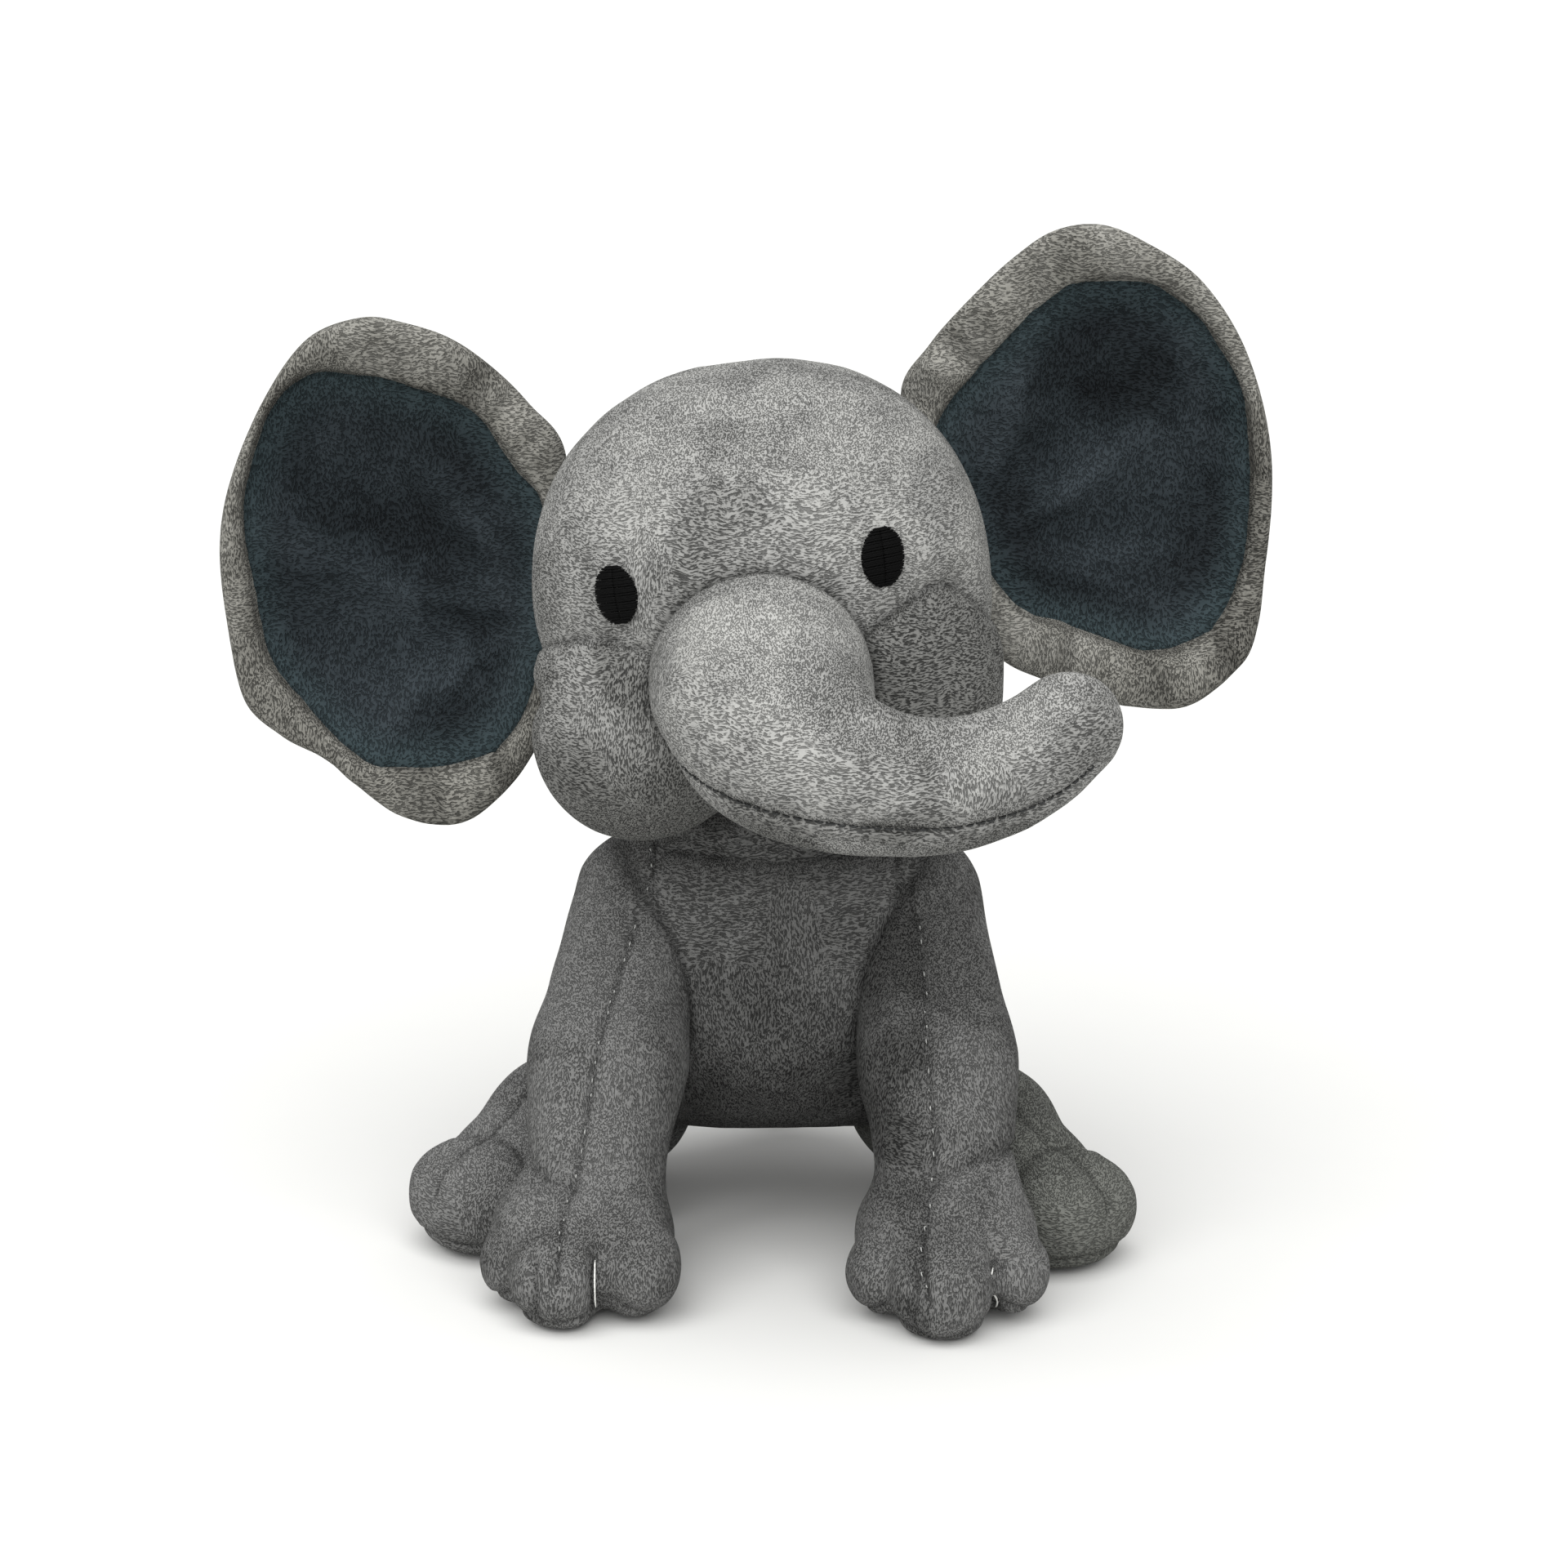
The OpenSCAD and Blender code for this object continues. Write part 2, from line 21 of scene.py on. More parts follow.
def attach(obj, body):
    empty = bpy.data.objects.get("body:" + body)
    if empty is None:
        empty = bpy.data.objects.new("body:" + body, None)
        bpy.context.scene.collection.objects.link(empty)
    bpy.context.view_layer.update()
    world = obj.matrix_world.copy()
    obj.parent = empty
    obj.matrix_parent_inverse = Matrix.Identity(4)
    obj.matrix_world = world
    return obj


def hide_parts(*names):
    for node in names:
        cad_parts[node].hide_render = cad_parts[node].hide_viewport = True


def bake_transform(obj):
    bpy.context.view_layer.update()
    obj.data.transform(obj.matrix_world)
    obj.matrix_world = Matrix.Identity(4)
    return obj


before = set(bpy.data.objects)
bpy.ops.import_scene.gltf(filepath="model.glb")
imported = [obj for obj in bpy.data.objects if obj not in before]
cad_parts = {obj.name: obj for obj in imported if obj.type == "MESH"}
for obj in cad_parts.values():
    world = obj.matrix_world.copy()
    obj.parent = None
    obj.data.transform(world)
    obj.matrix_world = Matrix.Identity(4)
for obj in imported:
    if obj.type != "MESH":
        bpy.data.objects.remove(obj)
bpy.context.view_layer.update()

LOG = logging.getLogger("elephant")

Points = np.ndarray
Field = Callable[[Points], np.ndarray]

ORIGIN = np.array([5.03, 15.94, 0.0])  # middle of the body to the frame's origin
HEAD_AT = np.array([-3.0, -8.0, 171.0])
HEAD_ROLL = math.radians(8.0)
NECK_AT = np.array([0.0, 8.0, 90.0])
EAR_LEAN = math.radians(13.0)
EAR_HINGE = (62.1, 12.0, 4.0)  # in the head's own axes, for the ear on +X


class Side(Enum):
    """The two sides of the toy, by the sign of X."""

    LEFT = -1
    RIGHT = 1

    @property
    def word(self) -> str:
        """The side's name as the frame's bodies spell it."""
        return self.name.lower()


class Nap(Enum):
    """How much of a piece's pile lies sideways rather than up and down."""

    UPRIGHT = -0.12
    MIXED = 0.0
    SIDEWAYS = 0.12


# --- colours and node helpers ---


def linear(hex_colour: str) -> tuple[float, float, float, float]:
    """Turns an sRGB hex colour into linear light.

    Args:
        hex_colour: Six hex digits, with or without a leading #.

    Returns:
        Red, green and blue in linear light, and an alpha of 1.
    """
    digits = hex_colour.lstrip("#")
    parts = [int(digits[i : i + 2], 16) / 255 for i in (0, 2, 4)]
    values = [c / 12.92 if c <= 0.04045 else ((c + 0.055) / 1.055) ** 2.4 for c in parts]
    return values[0], values[1], values[2], 1.0


def add_node(
    tree: bpy.types.NodeTree,
    kind: str,
    settings: dict[str, object] | None = None,
    links: dict[str | int, object] | None = None,
) -> bpy.types.Node:
    """Adds one node to a material.

    Args:
        tree: Node tree that the node joins.
        kind: Blender's name of the node type.
        settings: Values of the node's own properties.
        links: For each input, by name or place, an output socket to link or a value to set.

    Returns:
        The new node.
    """
    node = tree.nodes.new(kind)
    for key, value in (settings or {}).items():
        setattr(node, key, value)
    for key, value in (links or {}).items():
        socket = node.inputs[key]
        if isinstance(value, bpy.types.NodeSocket):
            tree.links.new(value, socket)
        else:
            socket.default_value = value
    return node


@dataclass(frozen=True)
class PileFabric:
    """Knitted polyester with a short brushed pile, such as minky or velboa.

    The pile stands up to 2 mm, so the eye sees fine wavy strokes with dark gaps between them, patches
    brushed pale and smooth or dark and rough, and a faint bloom where the surface turns away.
    """

    name: str
    pale: str
    mid: str
    deep: str
    slot: str
    strand_mm: float = 0.34
    stroke_mm: float = 1.2
    patch_mm: float = 28.0
    patch_depth: float = 0.5
    gap_depth: float = 0.72
    relief_mm: float = 0.6
    bloom: float = 0.12
    # edge: paler colour mixed in where the rim attribute is set, a painted sheen
    edge: str = ""

    def strokes(self, tree: bpy.types.NodeTree, place: object, stretch: Sequence[float]) -> object:
        """Draws the pile's strokes, long one way and fine across it.

        Args:
            tree: Node tree of the fabric.
            place: Socket with the warped place on the cloth, in metres.
            stretch: For each axis, how much longer the strokes run.

        Returns:
            Socket with a value from 0 to 1.
        """
        scaled = add_node(
            tree, "ShaderNodeMapping", {"vector_type": "POINT"},
            {"Vector": place, "Scale": tuple(1.0 / s for s in stretch)},
        )
        noise = add_node(
            tree, "ShaderNodeTexNoise", {"noise_dimensions": "3D"},
            {"Vector": scaled.outputs[0], "Scale": 1000.0 / self.strand_mm, "Detail": 1.0, "Roughness": 0.5},
        )
        return noise.outputs[0]

    def pile(self, tree: bpy.types.NodeTree, place: object) -> tuple[object, object]:
        """Draws the whole pile: strokes that change direction over the cloth, and tufts.

        Args:
            tree: Node tree of the fabric.
            place: Socket with the warped place on the cloth, in metres.

        Returns:
            Sockets with the strands and the tufts, each from 0 to 1.
        """
        facing = add_node(tree, "ShaderNodeAttribute", {"attribute_name": "cloth_top"}).outputs["Fac"]
        nap = add_node(tree, "ShaderNodeAttribute", {"attribute_name": "nap"}).outputs["Fac"]
        ratio = self.stroke_mm / self.strand_mm
        upright = self.strokes(tree, place, (1.0, 1.0, ratio))
        sideways = self.strokes(tree, place, (ratio, ratio, 1.0))
        level = self.strokes(tree, place, (1.0, ratio, 1.0))
        wander = add_node(
            tree, "ShaderNodeTexNoise", {}, {"Vector": place, "Scale": 22.0, "Detail": 1.0}
        ).outputs[0]
        lying = add_node(tree, "ShaderNodeMath", {"operation": "ADD"}, {0: wander, 1: nap}).outputs[0]
        lying = add_node(
            tree, "ShaderNodeMapRange", {"interpolation_type": "SMOOTHSTEP"},
            {"Value": lying, "From Min": 0.47, "From Max": 0.53},
        ).outputs[0]
        side = add_node(
            tree, "ShaderNodeMix", {"data_type": "FLOAT"}, {0: lying, 2: upright, 3: sideways}
        ).outputs[0]
        strands = add_node(
            tree, "ShaderNodeMix", {"data_type": "FLOAT"}, {0: facing, 2: side, 3: level}
        ).outputs[0]
        strands = add_node(
            tree, "ShaderNodeMapRange", {"interpolation_type": "SMOOTHSTEP"},
            {"Value": strands, "From Min": 0.35, "From Max": 0.54},
        ).outputs[0]
        tufts = add_node(
            tree, "ShaderNodeTexNoise", {}, {"Vector": place, "Scale": 380.0, "Detail": 2.0, "Roughness": 0.6}
        ).outputs[0]
        return strands, tufts

    def build(self) -> bpy.types.Material:
        """Makes the fabric's material.

        Returns:
            The material, with its pile drawn from the place stored on the cloth.
        """
        material = bpy.data.materials.new(self.name)
        material.use_nodes = True
        tree = material.node_tree
        tree.nodes.clear()
        place = add_node(tree, "ShaderNodeAttribute", {"attribute_name": "cloth_place"}).outputs["Vector"]
        crease = add_node(tree, "ShaderNodeAttribute", {"attribute_name": "crease"}).outputs["Fac"]
        tone = add_node(tree, "ShaderNodeAttribute", {"attribute_name": "tone"}).outputs["Fac"]
        # slow swirls bend the strokes, as a hand does when it brushes the pile
        swirl = add_node(
            tree, "ShaderNodeTexNoise", {}, {"Vector": place, "Scale": 75.0, "Detail": 2.0, "Roughness": 0.6}
        )
        centred = add_node(
            tree, "ShaderNodeVectorMath", {"operation": "SUBTRACT"}, {0: swirl.outputs[1], 1: (0.5, 0.5, 0.5)}
        )
        warp = add_node(
            tree, "ShaderNodeVectorMath", {"operation": "MULTIPLY_ADD"},
            {0: centred.outputs[0], 1: (0.005, 0.005, 0.005), 2: place},
        ).outputs[0]
        strands, tufts = self.pile(tree, warp)
        patches = add_node(
            tree, "ShaderNodeTexNoise", {},
            {"Vector": warp, "Scale": 1000.0 / self.patch_mm, "Detail": 3.0, "Roughness": 0.55,
             "Distortion": 0.5},
        ).outputs[0]
        # 1 where the pile is brushed smooth and pale, 0 where it stands up and looks dark
        brushed = add_node(
            tree, "ShaderNodeMapRange", {"interpolation_type": "SMOOTHSTEP"},
            {"Value": patches, "From Min": 0.36, "From Max": 0.64, "To Min": 0.5 - self.patch_depth / 2,
             "To Max": 0.5 + self.patch_depth / 2},
        ).outputs[0]
        tuft_part = add_node(
            tree, "ShaderNodeMapRange", {},
            {"Value": tufts, "From Min": 0.3, "From Max": 0.7, "To Min": -0.08, "To Max": 0.08},
        ).outputs[0]
        total = add_node(tree, "ShaderNodeMath", {"operation": "ADD"}, {0: brushed, 1: tuft_part}).outputs[0]
        # tone adds panel colour and painted light and shade
        total = add_node(
            tree, "ShaderNodeMath", {"operation": "ADD", "use_clamp": True}, {0: total, 1: tone}
        ).outputs[0]
        ramp = add_node(tree, "ShaderNodeValToRGB", {}, {"Fac": total})
        ramp.color_ramp.elements[0].position = 0.05
        ramp.color_ramp.elements[0].color = linear(self.deep)
        ramp.color_ramp.elements[1].position = 0.95
        ramp.color_ramp.elements[1].color = linear(self.pale)
        middle = ramp.color_ramp.elements.new(0.5)
        middle.color = linear(self.mid)
        colour = ramp.outputs[0]
        # painted sheen: where the rim attribute is set, the colour is mixed towards the paler edge colour
        if self.edge:
            rim = add_node(tree, "ShaderNodeAttribute", {"attribute_name": "rim"}).outputs["Fac"]
            colour = add_node(
                tree, "ShaderNodeMix", {"data_type": "RGBA"}, {0: rim, 6: colour, 7: linear(self.edge)}
            ).outputs[2]
        # gaps between the strands are darkest where the pile stands up
        lowest = add_node(
            tree, "ShaderNodeMapRange", {},
            {"Value": total, "To Min": 1.0 - self.gap_depth, "To Max": 1.0 - 0.45 * self.gap_depth},
        ).outputs[0]
        highest = add_node(
            tree, "ShaderNodeMapRange", {},
            {"Value": total, "To Min": 1.0 + 0.75 * self.gap_depth, "To Max": 1.0 + 0.25 * self.gap_depth},
        ).outputs[0]
        gaps = add_node(
            tree, "ShaderNodeMix", {"data_type": "FLOAT"}, {0: strands, 2: lowest, 3: highest}
        ).outputs[0]
        # painted shade: the crease attribute darkens the pile in seams, folds and where pieces meet, as little light
        # comes out of them
        shade = add_node(
            tree, "ShaderNodeMapRange", {}, {"Value": crease, "From Max": 1.0, "To Min": 1.0, "To Max": 0.3}
        ).outputs[0]
        gaps = add_node(tree, "ShaderNodeMath", {"operation": "MULTIPLY"}, {0: gaps, 1: shade}).outputs[0]
        shaded = add_node(
            tree, "ShaderNodeMix", {"data_type": "RGBA", "blend_type": "MULTIPLY"}, {0: 1.0, 6: colour, 7: gaps}
        ).outputs[2]
        height = add_node(
            tree, "ShaderNodeMath", {"operation": "MULTIPLY_ADD"}, {0: tufts, 1: 0.8, 2: strands}
        ).outputs[0]
        bump = add_node(
            tree, "ShaderNodeBump", {}, {"Strength": 1.0, "Distance": self.relief_mm / 1000, "Height": height}
        )
        shader = add_node(
            tree, "ShaderNodeBsdfPrincipled", {},
            {"Base Color": shaded, "Roughness": 0.95, "IOR": 1.4, "Specular IOR Level": 0.12,
             "Sheen Weight": self.bloom, "Sheen Roughness": 0.5, "Sheen Tint": linear(self.pale),
             "Normal": bump.outputs[0]},
        )
        add_node(tree, "ShaderNodeOutputMaterial", {}, {"Surface": shader.outputs[0]})
        return material


@dataclass(frozen=True)
class Thread:
    """Spun polyester sewing thread, smooth with a slight lustre along each strand."""

    name: str
    colour: str
    slot: str
    roughness: float = 0.5
    lustre: float = 0.25

    def build(self) -> bpy.types.Material:
        """Makes the thread's material.

        Returns:
            The material, with its twist drawn as fine slanted ridges.
        """
        material = bpy.data.materials.new(self.name)
        material.use_nodes = True
        tree = material.node_tree
        tree.nodes.clear()
        place = add_node(tree, "ShaderNodeTexCoord").outputs["Object"]
        # a ply turns about once in 0.8 mm
        twist = add_node(
            tree, "ShaderNodeTexWave", {"bands_direction": "DIAGONAL"},
            {"Vector": place, "Scale": 400.0, "Distortion": 1.5, "Detail": 1.0},
        )
        fuzz = add_node(tree, "ShaderNodeTexNoise", {}, {"Vector": place, "Scale": 1800.0, "Detail": 2.0})
        tint = add_node(
            tree, "ShaderNodeMapRange", {}, {"Value": fuzz.outputs[0], "To Min": 0.65, "To Max": 1.35}
        ).outputs[0]
        colour = add_node(
            tree, "ShaderNodeMix", {"data_type": "RGBA", "blend_type": "MULTIPLY"},
            {0: 1.0, 6: linear(self.colour), 7: tint},
        ).outputs[2]
        bump = add_node(
            tree, "ShaderNodeBump", {}, {"Strength": 0.5, "Distance": 0.0002, "Height": twist.outputs[1]}
        )
        shader = add_node(
            tree, "ShaderNodeBsdfPrincipled", {},
            {"Base Color": colour, "Roughness": self.roughness, "IOR": 1.45, "Specular IOR Level": self.lustre,
             "Normal": bump.outputs[0]},
        )
        add_node(tree, "ShaderNodeOutputMaterial", {}, {"Surface": shader.outputs[0]})
        return material


PALE_PLUSH = PileFabric("pale_grey_minky", "#90908d", "#777775", "#565654", "plush_pale")
GREY_PLUSH = PileFabric("grey_minky", "#646463", "#525251", "#3a3a39", "plush_grey")
RIM_PLUSH = PileFabric(
    "warm_grey_minky", "#7d7c77", "#676661", "#4c4b47", "plush_grey", patch_mm=22.0, patch_depth=0.36
)
DARK_PLUSH = PileFabric("dark_grey_minky", "#5c5d59", "#484946", "#323330", "plush_dark")
# the lining's teal edge colour is a painted sheen where it turns up
LINING = PileFabric(
    "navy_velboa", "#30363a", "#1f2427", "#101214", "lining", strand_mm=0.5, stroke_mm=1.1, patch_mm=38.0,
    patch_depth=0.45, gap_depth=0.5, relief_mm=0.4, bloom=0.08, edge="#333f42",
)
EYE_THREAD = Thread("black_embroidery_thread", "#040404", "thread_black", 0.7, 0.08)
SEAM_THREAD = Thread("charcoal_sewing_thread", "#2a2b2b", "thread_black", 0.6)
FLECK_THREAD = Thread("light_grey_sewing_thread", "#a7a8a5", "thread_pale", 0.7)
TACK_THREAD = Thread("white_sewing_thread", "#dcdcd8", "thread_pale", 0.6)


# --- fields that describe the stuffed forms ---


def melt(a: np.ndarray, b: np.ndarray, reach: float) -> np.ndarray:
    """Joins two fields with a fillet.

    Args:
        a: Distance to the first form.
        b: Distance to the second form.
        reach: Size of the fillet.

    Returns:
        Distance to both forms as one.
    """
    h = np.clip(0.5 + 0.5 * (b - a) / reach, 0, 1)
    return b * (1 - h) + a * h - reach * h * (1 - h)


def egg(
    p: Points, at: Sequence[float], radii: Sequence[float], down: float = 0.0, power: float = 2.0
) -> np.ndarray:
    """Distance to an egg.

    Args:
        p: Places to measure.
        at: Middle of the egg.
        radii: Half sizes along X, Y and up.
        down: Half size downwards, or 0 for the same as up.
        power: 2 for an ellipsoid, more for a squarer one.

    Returns:
        Rough distance, negative inside.
    """
    q = p - np.array(at)
    size = np.tile(np.array(radii, float), (len(q), 1))
    if down:
        size[:, 2] = np.where(q[:, 2] > 0, radii[2], down)
    k = (np.abs(q / size) ** power).sum(1) ** (1 / power)
    return (k - 1) * min(min(radii), down or radii[2])


def limb(p: Points, a: Sequence[float], b: Sequence[float], ra: float, rb: float) -> np.ndarray:
    """Distance to a round limb.

    Args:
        p: Places to measure.
        a: One end.
        b: The other end.
        ra: Radius at a.
        rb: Radius at b.

    Returns:
        Distance, negative inside.
    """
    start = np.array(a, float)
    way = np.array(b, float) - start
    t = np.clip((p - start) @ way / (way @ way), 0, 1)
    return np.linalg.norm(p - start - t[:, None] * way, axis=1) - (ra + (rb - ra) * t)


def tilt(p: Points, degrees: float, axis: int) -> Points:
    """Turns places about one axis through the origin.

    Args:
        p: Places to turn.
        degrees: Angle by the right-hand rule.
        axis: 0, 1 or 2 for X, Y or Z.

    Returns:
        The turned places.
    """
    c, s = math.cos(math.radians(degrees)), math.sin(math.radians(degrees))
    i, j = [(1, 2), (2, 0), (0, 1)][axis]
    out = p.copy()
    out[:, i] = c * p[:, i] - s * p[:, j]
    out[:, j] = s * p[:, i] + c * p[:, j]
    return out


def to_head(p: Points) -> Points:
    """Places in the body's axes, given in the head's own."""
    return tilt(p - HEAD_AT, math.degrees(HEAD_ROLL), 1)


def from_head(p: Points) -> Points:
    """Places in the head's own axes, given in the body's."""
    return tilt(p, -math.degrees(HEAD_ROLL), 1) + HEAD_AT


def slope(shape: Field, p: Points, step: float = 0.25) -> tuple[np.ndarray, Points]:
    """Measures a field and the way in which it grows.

    Args:
        shape: The field.
        p: Places to measure.
        step: Distance of the differences.

    Returns:
        The field's value and its gradient.
    """
    grad = np.empty_like(p)
    for axis in range(3):
        d = np.zeros(3)
        d[axis] = step
        grad[:, axis] = (shape(p + d) - shape(p - d)) / (2 * step)
    return shape(p), grad


def settle(shape: Field, p: Points, passes: int = 3, way: Sequence[float] | None = None) -> Points:
    """Moves places onto a form's surface.

    Args:
        shape: The form.
        p: Places near it.
        passes: How often to step.
        way: Direction in which they may slide, or None for the shortest way.

    Returns:
        Places on the surface.
    """
    for _ in range(passes):
        value, grad = slope(shape, p)
        if way is None:
            move = (value / np.maximum((grad**2).sum(1), 0.05))[:, None] * grad
        else:
            slide = np.array(way, float)
            steep = grad @ slide
            steep = np.where(np.abs(steep) < 0.2, np.where(steep < 0, -0.2, 0.2), steep)
            move = (value / steep)[:, None] * slide
        length = np.linalg.norm(move, axis=1, keepdims=True)
        p = p - move * np.minimum(1, 4 / np.maximum(length, 1e-9))
    return p


def smooth_line(corners: Sequence[Sequence[float]], step: float = 0.6, closed: bool = False) -> Points:
    """Draws an even, smooth line through corners.

    Args:
        corners: Places that the line passes through.
        step: Distance between its points.
        closed: True to join its ends.

    Returns:
        Points along the line.
    """
    c = np.array(corners, float)
    if closed:
        c = np.vstack([c[-1], c, c[0], c[1]])
    else:
        c = np.vstack([2 * c[0] - c[1], c, 2 * c[-1] - c[-2]])
    out = []
    for i in range(1, len(c) - 2):
        n = 24
        t = np.linspace(0, 1, n, endpoint=False)[:, None]
        a, b, d, e = c[i - 1], c[i], c[i + 1], c[i + 2]
        out.append(
            0.5 * (2 * b + (d - a) * t + (2 * a - 5 * b + 4 * d - e) * t**2 + (3 * b - a - 3 * d + e) * t**3)
        )
    line = np.vstack(out + [c[-2][None]])
    along = np.concatenate([[0], np.cumsum(np.linalg.norm(np.diff(line, axis=0), axis=1))])
    marks = np.linspace(0, along[-1], max(2, int(along[-1] / step) + 1))
    return np.stack([np.interp(marks, along, line[:, k]) for k in range(line.shape[1])], 1)


@dataclass
class Seam:
    """A sewn line that draws the skin in.

    Attributes:
        line: Points along it.
        depth: How far the fabric is drawn in at the stitches.
        width: Reach of the sharp crease.
        pull: How far the stuffing falls off beside it.
        pull_width: Reach of that fall.
        dark: How much painted shade darkens the crease, from 0 to 1.
    """

    line: Points
    depth: float = 1.3
    width: float = 1.1
    pull: float = 0.9
    pull_width: float = 5.0
    dark: float = 0.8


def distances(line: Points, p: Points) -> np.ndarray:
    """Distance from each place to the nearest point of a line.

    Args:
        line: Points along the line.
        p: Places in the body's axes.

    Returns:
        One distance for each place.
    """
    tree = KDTree(len(line))
    for i, q in enumerate(line):
        tree.insert(q, i)
    tree.balance()
    return np.array([tree.find(q)[2] for q in p])


def skin_over(
    shape: Field, low: Sequence[float], high: Sequence[float], cell: float
) -> tuple[Points, np.ndarray]:
    """Wraps a form in an even closed skin of four-sided faces.

    Args:
        shape: The form.
        low: Lowest corner of the space that holds it.
        high: Highest corner.
        cell: Size of a face.

    Returns:
        The skin's places and its faces.
    """
    axes = [np.arange(a, b + cell, cell) for a, b in zip(low, high)]
    n = [len(a) for a in axes]
    grid = np.stack(np.meshgrid(*axes, indexing="ij"), -1)
    value = shape(grid.reshape(-1, 3)).reshape(n)
    inside = value < 0
    total = np.zeros([k - 1 for k in n] + [3])
    count = np.zeros([k - 1 for k in n])
    corner = [(slice(None, -1), slice(1, None))[b] for b in (0, 1)]
    for axis in range(3):
        for b in range(4):
            bits = [b & 1, b >> 1]
            bits.insert(axis, 0)
            s0 = tuple(corner[k] for k in bits)
            bits[axis] = 1
            s1 = tuple(corner[k] for k in bits)
            v0, v1 = value[s0], value[s1]
            crossed = inside[s0] != inside[s1]
            t = np.where(crossed, v0 / np.where(crossed, v0 - v1, 1), 0)[..., None]
            total += np.where(crossed[..., None], grid[s0] * (1 - t) + grid[s1] * t, 0)
            count += crossed
    used = count > 0
    index = np.full(count.shape, -1)
    index[used] = np.arange(used.sum())
    places = total[used] / count[used][:, None]
    faces = []
    for axis in range(3):
        i, j = [k for k in range(3) if k != axis]
        lo = [slice(None)] * 3
        hi = [slice(None)] * 3
        lo[axis], hi[axis] = slice(None, -1), slice(1, None)
        change = inside[tuple(lo)] != inside[tuple(hi)]
        at = np.argwhere(change)
        at = at[(at[:, i] > 0) & (at[:, j] > 0) & (at[:, i] < n[i] - 1) & (at[:, j] < n[j] - 1)]
        first = inside[tuple(at.T)]
        ring = []
        for di, dj in ((1, 1), (0, 1), (0, 0), (1, 0)):
            q = at.copy()
            q[:, i] -= di
            q[:, j] -= dj
            ring.append(index[tuple(q.T)])
        quads = np.stack(ring, 1)
        flip = first if axis != 1 else ~first
        quads[~flip] = quads[~flip][:, ::-1]
        faces.append(quads)
    return places, np.vstack(faces)


def relax(p: Points, faces: np.ndarray, strength: float = 0.5) -> Points:
    """Evens out a skin by moving each place towards the middle of its neighbours.

    Args:
        p: The skin's places.
        faces: Its four-sided faces.
        strength: Part of the way to move.

    Returns:
        The moved places.
    """
    total = np.zeros_like(p)
    count = np.zeros(len(p))
    for k in range(4):
        a, b = faces[:, k], faces[:, (k + 1) % 4]
        np.add.at(total, a, p[b])
        np.add.at(total, b, p[a])
        np.add.at(count, a, 1)
        np.add.at(count, b, 1)
    return p + strength * (total / count[:, None] - p)


# --- objects ---


def new_mesh(name: str, places: Points, faces: Sequence | np.ndarray) -> bpy.types.Object:
    """Makes a smooth-shaded mesh object.

    Args:
        name: Name of the piece.
        places: Its points in the body's axes, in millimetres.
        faces: Its faces.

    Returns:
        The object, in metres in the frame.
    """
    mesh = bpy.data.meshes.new(name)
    metres = (places + ORIGIN) / 1000
    listed = faces.tolist() if isinstance(faces, np.ndarray) else faces
    mesh.from_pydata([tuple(v) for v in metres], [], listed)
    mesh.update()
    mesh.polygons.foreach_set("use_smooth", [True] * len(mesh.polygons))
    obj = bpy.data.objects.new(name, mesh)
    bpy.context.scene.collection.objects.link(obj)
    return obj


def places_of(obj: bpy.types.Object) -> Points:
    """An object's points in the body's axes, in millimetres."""
    co = np.empty(len(obj.data.vertices) * 3)
    obj.data.vertices.foreach_get("co", co)
    return co.reshape(-1, 3) * 1000 - ORIGIN


def put_places(obj: bpy.types.Object, places: Points) -> None:
    """Moves an object's points to places in the body's axes."""
    obj.data.vertices.foreach_set("co", ((places + ORIGIN) / 1000).ravel())
    obj.data.update()


def normals_of(obj: bpy.types.Object) -> Points:
    """An object's normals at its points."""
    out = np.empty(len(obj.data.vertices) * 3)
    obj.data.vertex_normals.foreach_get("vector", out)
    return out.reshape(-1, 3)


def store(obj: bpy.types.Object, name: str, values: np.ndarray) -> None:
    """Stores a value at each point of an object.

    Args:
        obj: The object.
        name: Name of the attribute.
        values: One number, or three, for each point.
    """
    kind, key = ("FLOAT_VECTOR", "vector") if values.ndim == 2 else ("FLOAT", "value")
    attribute = obj.data.attributes.get(name) or obj.data.attributes.new(name, kind, "POINT")
    attribute.data.foreach_set(key, values.astype(np.float32).ravel())


def apply_modifiers(obj: bpy.types.Object) -> None:
    """Replaces an object's mesh with what its modifiers make of it.

    Args:
        obj: The object.
    """
    graph = bpy.context.evaluated_depsgraph_get()
    mesh = bpy.data.meshes.new_from_object(obj.evaluated_get(graph))
    old = obj.data
    obj.modifiers.clear()
    obj.data = mesh
    bpy.data.meshes.remove(old)


def wrinkles(p: Points, size: float, seed: float) -> np.ndarray:
    """Slow, smooth unevenness of hand-filled stuffing.

    Args:
        p: Places to measure.
        size: Length of a swell.
        seed: Shift that sets one piece apart from another.

    Returns:
        A value from about -1 to 1 at each place.
    """
    q = p / size * 2 * math.pi
    total = np.zeros(len(p))
    rng = np.random.default_rng(int(seed * 1000) + 7)
    for _ in range(7):
        way = rng.normal(size=3)
        way /= np.linalg.norm(way)
        total += np.sin(q @ way * rng.uniform(0.6, 1.5) + rng.uniform(0, 6.28))
    return total / 4


@dataclass
class Padding:
    """How a stuffed piece is swelled.

    Attributes:
        cell: Size of a face before the last subdivision.
        pressure: Pressure of the stuffing in the cloth simulation.
        cap: Farthest that a point may move.
        fill: How tightly it is filled, from 0 to 1.
        finer: Levels of subdivision after it.
    """

    cell: float = 2.4
    pressure: float = 4.0
    cap: float = 2.5
    # fill: How tightly it is filled, from 0 to 1; not used.
    fill: float = 0.85
    finer: int = 1


